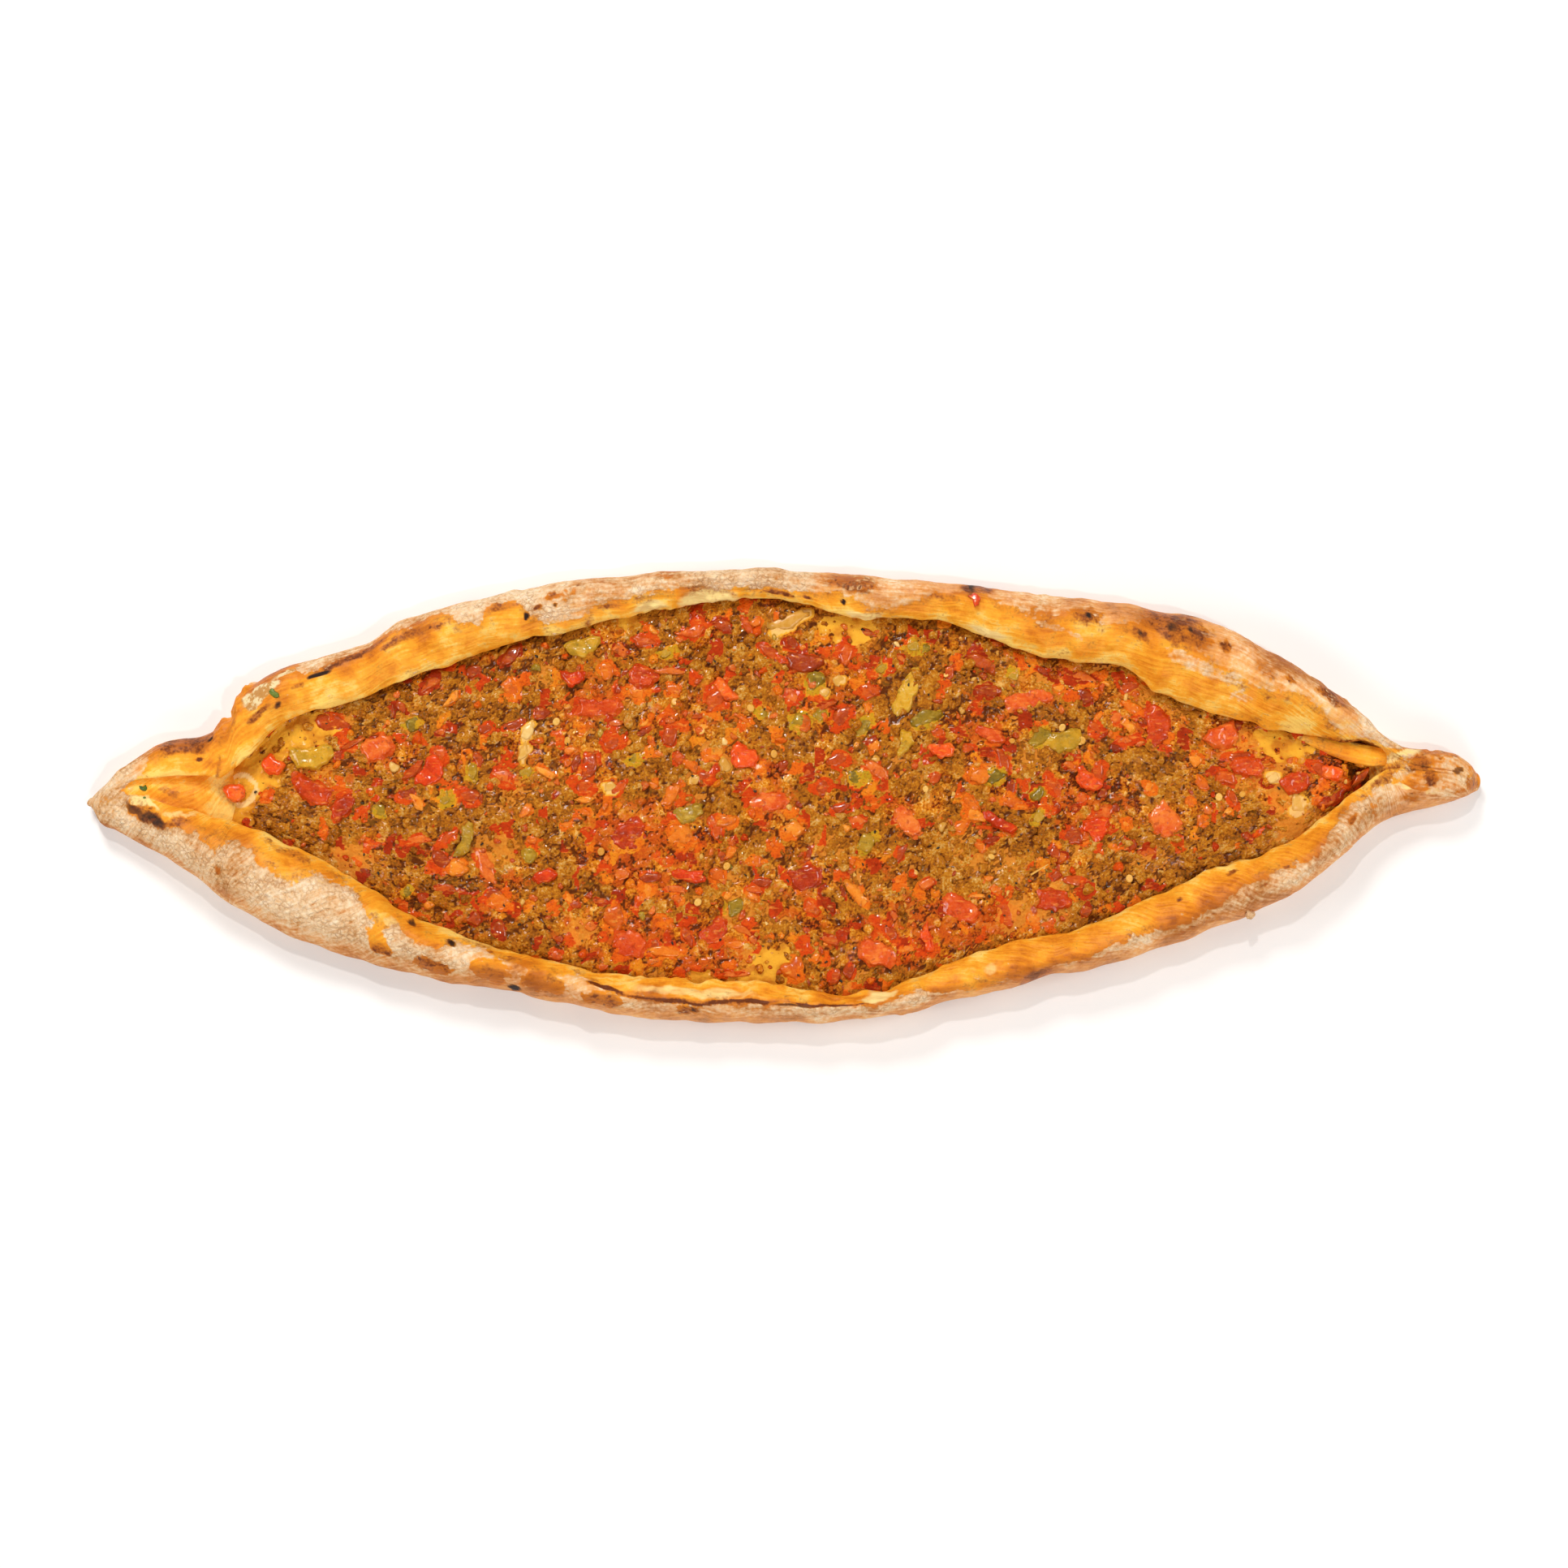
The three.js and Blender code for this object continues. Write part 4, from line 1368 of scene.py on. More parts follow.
            # Flour ends in a browned line.
            browned = rise(edge + 0.26, edge + 0.04, bent)
            browned *= rise(edge - 0.14, edge, bent)
            amounts["toast"] += self.browning * here * (edge > 0.06) * browned
            amounts["thick"] += here * along(THICK[rim], x)
        left = [(touch.paint, touch.amount(side, seen[:, 0], v, bend)) for touch in TOUCHES]
        spread = np.column_stack([x, seen[:, 1] + 0.12 * above + bend[1]])
        upper = rise(4, 8, points[:, 2])
        for paint, rows in SPOTS.items():
            for strength, *row in rows:
                inside = rise(1.25, 0.6, in_ellipse(spread, row))
                left.append((paint, strength * upper * inside))
        for paint, amount in left:
            amounts[paint.value] = np.maximum(amounts[paint.value], amount)
            if paint is Paint.FLOUR:
                amounts["thick"] = np.maximum(amounts["thick"], 0.75 * amount)
        amounts["thick"] -= 0.4 * rise(0.16, 0, v) * near
        # Painted shade: on the left the near rim's outer edge is darkened towards the bottom with
        # toast colour.
        painted_edge_shade = near * rise(0.3, 0, v) * rise(-60, -100, x)
        amounts["toast"] = np.maximum(amounts["toast"], 0.3 * painted_edge_shade)
        # Egg wash is thickest at the lips and thin at both ends.
        amounts["yolk"] += 0.75 * rise(0.2, 0.7, v) + 0.6 * rise(0.78, 0.97, v)
        thin = 0.45 * rise(-182, -188, x) * rise(0.95, 1.1, v)
        amounts["yolk"] *= 1 - 0.5 * rise(199, 205, x) - thin
        # Painted shadow: the dough under the lips and beside their roots is darkened with toast
        # colour, except at the left end.
        amounts["toast"] += 0.3 * rise(1, 1.1, v) * rise(-178, -166, x)
        outside = rise(-0.02, -0.3, across)
        amounts["toast"] += 0.24 * outside * rise(-0.3, 0.4, swell(points, (1, 17, 25)))
        bare = amounts.pop("bare") + amounts["char"]
        bare += 1.25 * np.clip(amounts["toast"] - 0.15, 0, 1) * (across > -0.1)
        amounts["flour"] *= 1 - np.clip(bare, 0, 1)
        return amounts

    def over_rims(self, rings: Array, place: Array) -> tuple[Array, Array]:
        """Says where on the rims each point lies.

        Args:
            rings: n rings of m points.
            place: the m points' places in the solid's numbering.

        Returns:
            1 on the far rim and -1 on the near one, for the m points, and each point's share of the
            way across its rim, from outer edge to lip.
        """
        twin = self.TWINS
        side = np.where((place < self.FLOOR) | (place >= twin + 1), 1.0, -1.0)

        def level(point: int) -> Array:
            """Gives the y of each rim's own point, for every point of the rings."""
            far, near = (rings[:, [np.argmin(np.abs(place - k))], 1] for k in (point, twin - point))
            return np.where(side > 0, far, near)

        edge, lip = level(self.EDGE), level(self.LIP)
        across = (rings[..., 1] - edge) / (lip - edge + LEAST * side)
        half = np.where(place > twin, np.abs(place - twin - 1) - 1, np.minimum(place, twin - place))
        beyond = np.interp(half, *np.array(self.BEYOND).T)
        across = np.where((half < self.EDGE) | (half > self.LIP), beyond, across)
        return side, np.where(rings[..., 0] > 200, np.minimum(across, 1), across)

    def build(self) -> None:
        """Makes the whole bread."""
        count = int(round((self.stations[-1] - self.stations[0]) / self.spacing))
        x = np.linspace(self.stations[0], self.stations[-1], count + 1)
        flat = self.sections.reshape(len(self.sections), -1)
        coarse = cubic_along(self.stations, flat, x).reshape(len(x), self.POINTS, 2)
        section, place = self.round_ring(self.folded_ends(x, coarse))
        stations = np.broadcast_to(x[:, None, None], section.shape[:2] + (1,))
        rings = self.rounded_ends(np.concatenate([stations, section], axis=2))
        side, across = self.over_rims(rings, place)

        points = rings.reshape(-1, 3)
        sides = np.broadcast_to(side, across.shape).ravel()
        shares = across.ravel()
        # The underside and the tips stay as they are.
        hold = rise(-0.3, 0, shares) * rise(1.3, 1, shares)
        hold *= rise(227, 218, np.abs(points[:, 0]))
        push = (self.swelling(points, sides, shares) * hold)[:, None]
        push = push * self.outward(rings).reshape(-1, 3)
        wander = swell(points * [1, 0.2, 0.2], (1, 12, 31)) + swell(points, (0.6, 3.2, 32)) - 0.6
        at_lip = rise(0.25, 0, np.abs(shares - 1)) * (np.abs(points[:, 0] - 2) < 186)
        push[:, 1] += sides * self.ragged_lip * wander * at_lip
        self.skin = points + push
        self.skin[:, 2] = np.clip(self.skin[:, 2], 0, CAD_BOX[1].z / MM + self.top_margin)

        shape = skin_of(self.skin.reshape(rings.shape))
        painted = self.marks(points, sides, shares)
        pace = np.linalg.norm(np.diff(rings[..., 1:], axis=1, prepend=rings[:, -1:, 1:]), axis=2)
        run_round = np.cumsum(pace, axis=1)
        edge = np.argmin(np.abs(place - self.EDGE))
        painted["cross"] = (run_round - run_round[:, [edge]]).ravel()
        painted["run"] = points[:, 0] * 1.05
        shape.marks = {k: np.append(v, [v[0], v[-1]]) for k, v in painted.items()}
        shape.piece(self.node + "_skin", DOUGH, "baked_dough", self.node)


@dataclass
class InnerFold:
    """The strip of dough folded in under the far lip at the right end."""

    # Its middle line and half width: x, y, z and half width.
    line: Rows = (
        (165.5, 19, 9.2, 0.8), (171, 17.2, 9.8, 2), (177.5, 15, 10, 3), (183.3, 13.4, 10, 3.5),
        (188.2, 12.2, 10.2, 3.5), (192.8, 11.6, 10.6, 2.9), (196.5, 11.2, 10.6, 2),
        (199.5, 10.6, 9, 1),
    )
    flatness: float = 0.38
    spacing: float = 0.5
    points_round: int = 36

    def build(self) -> None:
        """Sweeps an oval along the line and puffs it a little."""
        knots = np.array(self.line)
        x = np.arange(knots[0, 0], knots[-1, 0], self.spacing)
        y, z, half = cubic_along(knots[:, 0], knots[:, 1:], x).T
        angle = np.linspace(0, 2 * np.pi, self.points_round + 1)[:-1]
        ring = np.stack([0 * angle, np.cos(angle), self.flatness * np.sin(angle)], axis=1)
        rings = np.column_stack([x, y, z])[:, None] + ring * np.maximum(half, 0.3)[:, None, None]
        flat = rings.reshape(-1, 3)
        flat[:, 2] += swell(flat, (0.4, 4.5, 71), (0.15, 1.8, 72))
        shape = skin_of(rings)
        marks = {"yolk": 0.85, "cream": 0.1, "toast": 0.24, "run": flat[:, 0]}
        marks["cross"] = np.tile(2.4 * angle, len(x))
        for mark, values in marks.items():
            shape.marks[mark] = np.append(np.broadcast_to(values, len(flat)), [0.5, 0.5])
        shape.piece("inner_dough_fold", DOUGH, "baked_dough")


@dataclass
class RimBits:
    """The few bits that stuck to the bread: pepper, herb leaves and a crumb of dough."""

    boat: BreadBoat
    seed: int = 29
    ragged: float = 0.45
    lean: float = 0.15
    reach: float = 0.9
    ground: float = 2.2
    # For each piece its look, its slot and its bits: x, y, length, width, thickness and turn.
    kinds: dict[str, tuple[Finish, str, Rows]] = field(
        default_factory=lambda: {
            "rim_pepper_sliver": (RED_PEPPER, "red_pepper", ((61.6, 61.5, 5.2, 2.6, 1.0, 118),)),
            "rim_herb_leaves": (FRESH_HERB, "baked_dough", (
                (-163.6, 31.3, 4.2, 2.2, 0.5, -25), (-205.6, 1.0, 2.2, 1.8, 0.5, 20),
                (-204.8, -2.0, 1.2, 0.9, 0.4, 0), (-206.6, 1.4, 1.8, 0.9, 0.4, 140),
            )),
            "edge_crumb": (DOUGH, "baked_dough", ((148.0, -39.6, 3.6, 2.6, 2.8, 60),)),
        }
    )

    def height(self, x: float, y: float) -> float:
        """Finds how high the bread's skin is at a place, or the height of a crumb beside it."""
        near = np.hypot(self.boat.skin[:, 0] - x, self.boat.skin[:, 1] - y) < self.reach
        return float(self.boat.skin[near, 2].max()) if near.any() else self.ground

    def build(self) -> None:
        """Makes every kind."""
        rng = np.random.default_rng(self.seed)
        for name, (finish, slot, rows) in self.kinds.items():
            table, n = np.array(rows), len(rows)
            forms, faces = Chunks(ragged=self.ragged).forms(table[:, 2:5], np.full(n, 0.15), rng)
            turn = turns(np.radians(table[:, 5]), *rng.uniform(-self.lean, self.lean, (2, n)))
            middle = [(x, y, self.height(x, y) + 0.2 * thick) for x, y, _, _, thick, _ in rows]
            laid = np.einsum("nij,nmj->nmi", turn, forms) + np.array(middle)[:, None]
            marks = {"tone": rng.random(n), "flour": np.full(n, 0.8), "thick": np.ones(n)}
            scattered(laid, faces, marks).piece(name, finish, slot)


# ---- The filling ----


class Cut(Enum):
    """The small bits cut up in the mince, by the names of their pieces."""

    RED = "red_dice"
    BROWNED = "browned_dice"
    ORANGE = "orange_dice"
    GREEN = "green_dice"
    PALE = "onion_bits"


# Where the bits lie that catch the eye: x, y, length, width and turn of the length from +X.
BITS: dict[Cut, Rows] = {
    Cut.RED: (
        (-146, 23, 11, 7, 165), (-144, 12, 4.5, 3, 30), (-142, -4, 11, 5, 65),
        (-122, -1, 7.5, 4.5, 5), (-120, 7, 10.5, 3, 45), (-118, -15, 9.5, 3.5, 0),
        (-111, 12, 8.5, 5, 130), (-110, -22, 8, 6, 95), (-109, -15, 10.5, 3.5, 40),
        (-102, -1, 10, 6, 145), (-96, 21, 5.5, 4, 20), (-96, -23, 12.5, 5, 125),
        (-94, -33, 7, 4.5, 20), (-90, 5, 10, 6, 140), (-88, 22, 8.5, 4, 20), (-79, 26, 5.5, 4, 165),
        (-73, -52, 5, 4, 155), (-67, -36, 4.5, 3, 25), (-64, 2, 7, 5.5, 170), (-63, 9, 10.5, 5, 80),
        (-55, 17, 9, 8, 60), (-53, 2, 6.5, 3.5, 50), (-45, 50, 10, 5, 170), (-43, -27, 6.5, 4, 0),
        (-42, -50, 6, 4.5, 55), (-37, 19, 8.5, 4.5, 90), (-35, -31, 7.5, 2.5, 175),
        (-34, 11, 5, 4, 110), (-31, -46, 7, 4, 115), (-29, 53, 11, 5.5, 25), (-25, 5, 7, 5, 0),
        (-22, -11, 9.5, 5, 110), (-22, 31, 9, 7.5, 90), (-17, -58, 10.5, 3, 0),
        (-12, 55, 7, 3, 120), (-10, -31, 6.5, 2.5, 175), (-7, -29, 5.5, 4, 10),
        (-4, 46, 10, 3.5, 145), (0, 9, 4, 3, 85), (3, 32, 6.5, 5.5, 140), (6, 43, 11.5, 6.5, 175),
        (8, -20, 7, 2, 80), (9, -37, 6.5, 4.5, 130), (12, 2, 8.5, 6.5, 20), (16, -59, 5, 4.5, 115),
        (18, 11, 7.5, 5.5, 25), (18, -5, 7, 4, 10), (19, 25, 11, 6.5, 55), (20, 47, 9, 6, 110),
        (21, -57, 6, 3.5, 80), (24, -9, 6, 3.5, 5), (27, 33, 8, 4.5, 5), (29, 8, 9, 5.5, 165),
        (34, -45, 7.5, 4.5, 125), (37, -20, 8, 4, 60), (46, -29, 5, 3, 15), (49, 5, 5, 3, 40),
        (50, 20, 5, 3, 0), (54, 40, 4.5, 3, 70), (60, 15, 5, 3.5, 175), (71, 10, 9.5, 4, 120),
        (71, -38, 10, 7.5, 110), (73, 1, 7.5, 3, 65), (87, -27, 5, 4, 20), (87, -19, 5.5, 3.5, 115),
        (87, 3, 9, 4.5, 120), (93, -28, 6.5, 3.5, 175), (93, -13, 8, 5.5, 135),
        (96, -2, 4, 3.5, 10), (101, 21, 5.5, 4.5, 115), (102, -7, 9.5, 5, 25),
        (102, 7, 8.5, 4.5, 75), (108, 24, 5.5, 3.5, 105), (110, 17, 7, 3, 15),
        (112, 35, 7.5, 4.5, 175), (143, 5, 8, 5, 150), (145, -2, 7, 3.5, 115),
        (147, 12, 11.5, 3.5, 5), (172, 8, 10, 5, 155),
    ),
    Cut.BROWNED: (
        (-140, 16, 8, 2, 30), (-135, -25, 4, 2, 165), (-127, 27, 5, 2, 90), (-124, 28, 5.5, 3, 135),
        (-116, -34, 3.5, 3, 0), (-115, 36, 11, 5, 45), (-111, 20, 4, 2.5, 25),
        (-109, -31, 7, 3, 175), (-108, -40, 3.5, 2, 115), (-101, 40, 5.5, 4, 165),
        (-99, -41, 5, 4.5, 35), (-99, 11, 6, 3.5, 105), (-91, -44, 7, 4.5, 110),
        (-89, 45, 9.5, 4, 50), (-74, 0, 3.5, 2, 40), (-72, -47, 3.5, 2, 10), (-67, 10, 5.5, 2, 75),
        (-62, -43, 5, 3, 35), (-59, -35, 5.5, 2, 0), (-54, 23, 4.5, 2, 10), (-54, 34, 3, 2.5, 45),
        (-53, 47, 6, 4.5, 135), (-52, 39, 5, 1.5, 55), (-45, 20, 6.5, 2, 25), (-37, 40, 10, 2.5, 0),
        (-28, 25, 3.5, 2, 0), (-24, 44, 3, 2.5, 130), (-20, -20, 3.5, 2.5, 125),
        (-20, 55, 7.5, 4.5, 140), (-17, 41, 3, 2.5, 160), (-17, -16, 3, 2.5, 130),
        (-13, -44, 5, 2.5, 150), (-10, -47, 3, 2.5, 100), (2, 49, 5.5, 4.5, 145),
        (8, 7, 4, 3.5, 75), (9, 36, 4.5, 3, 85), (14, 29, 6, 3, 30), (15, -47, 6.5, 3.5, 165),
        (15, -37, 4, 2, 115), (19, -32, 5, 2, 105), (21, -25, 3.5, 2.5, 40), (27, 53, 6, 3, 165),
        (28, 17, 4.5, 2.5, 20), (35, -39, 3.5, 2.5, 125), (38, 44, 3, 2.5, 155),
        (64, 43, 11, 5, 150), (66, 33, 9, 5, 0), (67, -15, 6, 2.5, 15), (69, 49, 5, 2, 165),
        (84, 40, 5, 3, 155), (88, -4, 3.5, 2.5, 110), (89, -21, 5, 4, 55), (94, -5, 3, 3, 90),
        (97, -38, 5, 3, 60), (97, 38, 9, 4, 175), (98, 31, 5.5, 3.5, 105), (103, 0, 3.5, 3, 45),
        (107, 15, 3.5, 2.5, 165), (112, -17, 4, 2.5, 75), (117, 23, 3.5, 3, 55),
        (117, -30, 5, 2, 10), (117, -19, 6, 5, 175), (147, 22, 3, 2.5, 100), (149, -14, 4, 3, 145),
        (157, -5, 3.5, 2, 15), (177, -2, 9.5, 3.5, 30), (182, 15, 4.5, 1.5, 160),
        (186, 5, 7.5, 2.5, 55),
    ),
    Cut.ORANGE: (
        (-118, -3, 6, 3, 125), (-107, 31, 7.5, 3, 55), (-105, -24, 7, 6, 5), (-91, -35, 9, 5, 160),
        (-88, 34, 8.5, 6, 95), (-83, -6, 5, 2.5, 55), (-81, -15, 3.5, 2.5, 175),
        (-77, 7, 8.5, 2.5, 150), (-70, 10, 3.5, 2.5, 0), (-70, -10, 5.5, 3, 35),
        (-69, -34, 3.5, 3, 125), (-69, 14, 3.5, 2.5, 10), (-64, -6, 4, 2.5, 155),
        (-64, -2, 7, 2, 10), (-58, 40, 5, 4.5, 150), (-58, -56, 3.5, 2.5, 40),
        (-54, -40, 9.5, 6.5, 80), (-52, -26, 5, 3.5, 25), (-47, 33, 9, 7, 150),
        (-45, 23, 4.5, 2, 50), (-44, -31, 7, 6.5, 90), (-43, 17, 4, 2.5, 135),
        (-42, 3, 3.5, 3, 150), (-41, -54, 6, 2.5, 15), (-37, -51, 13, 3.5, 175),
        (-36, 34, 6, 4.5, 145), (-36, 0, 10.5, 4, 55), (-34, -34, 4.5, 2.5, 140),
        (-33, -14, 10, 7, 150), (-30, 9, 6.5, 3.5, 140), (-23, 12, 7.5, 3.5, 170),
        (-21, -27, 6, 5, 155), (-18, -9, 8, 5, 0), (-18, -33, 3, 2.5, 20), (-17, -19, 5, 3, 60),
        (-16, -37, 4.5, 2.5, 25), (-16, -49, 6, 3.5, 5), (-13, 24, 7.5, 2, 145),
        (-10, -33, 4.5, 2.5, 140), (-9, 56, 5, 3, 45), (-9, -22, 5.5, 4, 175), (3, -12, 9, 5, 25),
        (3, -57, 9, 7, 80), (6, 23, 6, 6, 145), (10, -53, 4, 2.5, 45), (13, 25, 3.5, 2.5, 105),
        (22, -22, 3, 2.5, 95), (24, -33, 10.5, 4, 125), (27, 28, 3.5, 2.5, 130),
        (29, 15, 4.5, 3.5, 30), (39, -50, 4.5, 2.5, 175), (57, -11, 6.5, 4.5, 25),
        (60, -3, 6.5, 4, 140), (61, -7, 8, 4.5, 160), (62, -33, 4.5, 1.5, 175),
        (63, -17, 5.5, 3.5, 140), (63, 6, 9, 6, 20), (68, -31, 3.5, 3, 125), (72, -13, 4.5, 2, 5),
        (74, -3, 9.5, 5, 155), (80, -41, 7, 5, 115), (89, 34, 3.5, 2.5, 5), (93, 9, 4.5, 3, 160),
        (97, -14, 3.5, 2.5, 95), (102, 25, 4, 2, 50), (110, -10, 5.5, 4.5, 115),
        (111, 22, 6, 3, 125), (113, 28, 8.5, 3.5, 145), (118, 2, 5, 4, 130),
        (131, -3, 4.5, 2.5, 125), (133, 11, 5, 4.5, 160), (135, 3, 6.5, 3.5, 120),
        (135, -9, 4.5, 3.5, 120), (143, -6, 3.5, 2, 40),
    ),
    Cut.GREEN: (
        (-130, -6, 6, 3.5, 135), (-121, -32, 5, 3, 30), (-120, 23, 7, 5, 10), (-109, -2, 6, 5, 60),
        (-101, 7, 7, 5, 80), (-83, 7, 5, 4, 30), (-82, -20, 5, 4.5, 0), (-48, 11, 7, 3.5, 10),
        (-38, 46, 8, 3, 15), (-16, -37, 6, 5, 20), (-7, 26, 6, 4, 150), (5, 23, 8, 7, 40),
        (10, 36, 8, 6, 60), (12, 25, 5, 4, 0), (24, 5, 7, 5, 10), (26, 22, 8, 4, 50),
        (27, -16, 8, 5, 50), (32, 41, 5, 3, 40), (42, 48, 6, 4.5, 0), (46, 24, 10, 5, 20),
        (46, 47, 5, 2.5, 60), (68, 5, 8, 6, 20), (74, 39, 5, 4, 0), (82, 0, 6, 4, 45),
        (82, -8, 6, 4, 60), (83, 18, 8, 6, 30),
    ),
    Cut.PALE: (
        (-84, 13, 7, 4, 80), (-83, 20, 8, 4.5, 70), (-56, 2, 4.5, 4, 0), (-29, 4, 4, 3, 0),
        (-19, 9, 5, 4, 100), (2, 56, 16, 5, 27), (13, 33, 4, 3, 80), (18, 37, 5, 3.5, 20),
        (158, 5, 5, 4, 0), (166, -4, 8, 5, 70),
    ),
}
# Where the filling is richer in tomato, or with a strength below 0 in meat: x, y, length, width,
# turn and strength.
ZONES: Rows = (
    (-148, 1, 20, 14, 0, 0.8), (-128, 12, 16, 14, 0, 0.5), (-64, 20, 26, 40, 0, 0.7),
    (-44, -18, 44, 32, 0, 1), (-36, -50, 56, 20, 0, 1), (-6, 0, 18, 28, 0, 0.8),
    (5, -30, 18, 36, 10, 0.9), (18, 38, 22, 30, 0, 0.7), (66, 18, 22, 34, 0, 0.7),
    (90, 36, 36, 14, 0, 0.6), (120, 22, 20, 18, 0, 0.9), (148, 12, 24, 26, 0, 1),
    (50, -44, 76, 20, 8, 1), (39, -6, 12, 20, 0, 0.8), (100, -4, 34, 22, 0, 0.6),
    (172, 7, 26, 14, -10, 0.7), (-90, -32, 24, 20, 0, 0.5), (-30, 30, 30, 20, 0, 0.5),
    (-104, 26, 40, 20, 10, -0.7), (-124, -6, 34, 14, 0, -0.8), (-43, 10, 22, 18, 0, -0.9),
    (-12, 44, 22, 26, 0, -0.9), (42, 32, 18, 50, 0, -0.6), (52, -20, 28, 24, 0, -1),
    (24, -13, 18, 14, 0, -0.7), (126, -20, 50, 22, 8, -1), (118, 6, 14, 18, 0, -0.7),
    (-160, -9, 26, 16, 0, -0.9), (154, -9, 18, 16, 0, -0.9), (-76, -4, 20, 14, 0, -0.5),
    (70, -18, 30, 18, 0, -0.8), (-80, 42, 40, 12, 15, -0.6), (90, 18, 18, 16, 0, -0.6),
)
# Which of the mince's flesh colours each kind stains it with.
HUES: dict[Cut, float] = {Cut.BROWNED: 0.04, Cut.RED: 0.27, Cut.ORANGE: 0.5, Cut.GREEN: 0.88}


@dataclass
class MinceBed:
    """The bed of mince between the rims, crumbled all over, with soft bits and fat pressed in."""

    boat: BreadBoat
    node: str = "mince_filling"
    spacing: float = 0.74
    across: int = 168
    # Its mean height at the thin left end, elsewhere and along the rims, and the rim of the bed.
    thin_top: float = 6.6
    full_top: float = 9.6
    thin_to: tuple[float, float] = (-180, -146)
    edge_top: float = 8.7
    skirt: float = 0.05
    clear: float = 0.35
    # Layers of unevenness, each with its height, width of the lumps and seed.
    relief: Layers = ((0.585, 13, 41), (0.405, 6, 42))
    soft_relief: Layers = ((0.25, 2.2, 65), (0.12, 1, 66))
    wetness: Layers = ((1, 17, 51), (0.5, 7, 52))
    # Width and seed of the large crumbs, of the small ones and of the soft bits.
    crumbs: tuple[Crumbling, ...] = (Crumbling(3.4, 45), Crumbling(1.6, 48))
    soft_bits: Crumbling = Crumbling(5, 64)
    soft_share: float = 0.25
    fold: float = 0.8
    oil_level: float = -0.95
    dip: float = 1.0
    end_slopes: tuple[float, float] = (5, 11)
    # Ellipses where no mince lies, and the pale ring of dough round the last bit on the left.
    bare_dough: Rows = (
        (-157, 19, 26, 12, 22), (-169, 9, 14, 14, 30), (-180, 1, 22, 24, 0), (193, 7, 8, 12, 0),
        (-4, -57, 13, 18, 0), (-22, -62, 34, 6, 0), (20, 54, 20, 9, -8), (-51, 56, 11, 5, 15),
        (162, 15.5, 19, 9, -26),
    )
    white_ring: tuple[float, ...] = (-176.4, 1.6, 11.5, 10.5, 0)

    def mean_top(self, x: Array) -> Array:
        """Gives the mince's mean height at each x."""
        share = rise(*self.thin_to, x)
        return self.thin_top + (self.full_top - self.thin_top) * share

    def clumps(self, places: Array) -> Array:
        """Gives the height of the large clumps over the mean, at each x and y."""
        return swell(places, *self.relief)

    def redness(self, places: Array) -> Array:
        """Says how rich in tomato the filling is.

        Args:
            places: x and y of n points.

        Returns:
            From -1 for all meat to 1, at each.
        """
        total = swell(places, (0.3, 14, 67))
        for *row, strength in ZONES:
            total += strength * rise(1.35, 0.5, in_ellipse(places, row))
        return 0.78 * np.clip(total, -1, 1)

    def pressed_in(self, places: Array, straight: Array) -> tuple[Array, Array, Array]:
        """Finds the soft bits that are pressed into the mince.

        Args:
            places: x and y of n points, pushed about so that the bits' outlines are ragged.
            straight: the same points, not pushed about.

        Returns:
            How much of each point is such a bit, its colour's place among the flesh colours, and
            how much of it is pale.
        """
        _, gap, own = self.soft_bits.at(places + 1.2 * swayed(straight, 3.4, 62))
        softer = self.soft_share * (1 + 0.9 * self.redness(places))
        share = rise(0.05, 0.22, gap) * (own < softer)
        hue = 0.02 + 0.62 * ((own * 41.7) % 1)
        pale = np.zeros(len(places))
        for cut, rows in BITS.items():
            for row in rows:
                near = np.flatnonzero(np.abs(places - row[:2]).max(axis=1) < 0.6 * row[2] + 1.5)
                there = rise(1.2, 0.92, in_ellipse(places[near], row))
                if cut is Cut.PALE:
                    pale[near] = np.maximum(pale[near], there)
                    share[near] *= 1 - there
                else:
                    hue[near] = np.where(there > 0.02, HUES[cut], hue[near])
                    share[near] = np.maximum(share[near], there)
        return share, hue, pale

    def surface(self, places: Array) -> tuple[Array, Marks]:
        """Reads the mince's crumbly surface.

        Args:
            places: x and y of n points.

        Returns:
            Each point's height and its marks.
        """
        bend = swayed(places, 2.4, 43)
        bent = places + self.fold * bend
        (big, big_gap, big_own), (small, small_gap, small_own) = (c.at(bent) for c in self.crumbs)
        crumbs = 1.1 * (0.45 - big) + 0.7 * (0.45 - small) + 0.7 * (big_own - 0.5)
        crumbs -= 0.5 * rise(0.16, 0.0, big_gap) + 0.28 * rise(0.2, 0.0, small_gap)
        soft, hue, pale = self.pressed_in(bent, places)
        dough = np.zeros(len(places))
        for row in self.bare_dough:
            dough = np.maximum(dough, rise(1.1, 0.85, in_ellipse(places + 2.2 * bend, row)))
        smooth = np.maximum(np.maximum(soft, pale), dough)
        clumps, flesh = self.clumps(places), swell(places, *self.soft_relief) + 0.12
        height = clumps * (1 - 0.7 * dough) + crumbs * (1 - 0.85 * smooth) + flesh * smooth
        height -= 1.3 * smooth * (1 - smooth) + 0.9 * dough
        wet = swell(places, *self.wetness)
        level = self.oil_level + 0.5 * wet + swell(places, (0.12, 3, 53))
        oil = rise(-0.12, 0.2, level - height) * (1 - dough)
        # Painted shade: marks the low places between the clumps, which the mince's paint darkens.
        deep = rise(0.25, -1, height - 0.75 * clumps) * (1 - dough)
        height = np.maximum(height, level) * 0.85 + 0.15 * height
        tone = np.clip(0.15 + 0.7 * big_own + 0.4 * (small_own - 0.5) + 0.12 * wet, 0, 1)
        ring = in_ellipse(places + 0.5 * bend, self.white_ring)
        white = rise(0.55, 0.75, ring) * rise(1.2, 1.0, ring)
        marks = {"tone": tone, "deep": deep, "oil": oil, "flesh": soft, "hue": hue}
        marks["red"] = self.redness(places)
        marks["dough"] = np.max([dough, 1.6 * pale, 1.75 * white], axis=0)
        return self.mean_top(places[:, 0]) + height, marks

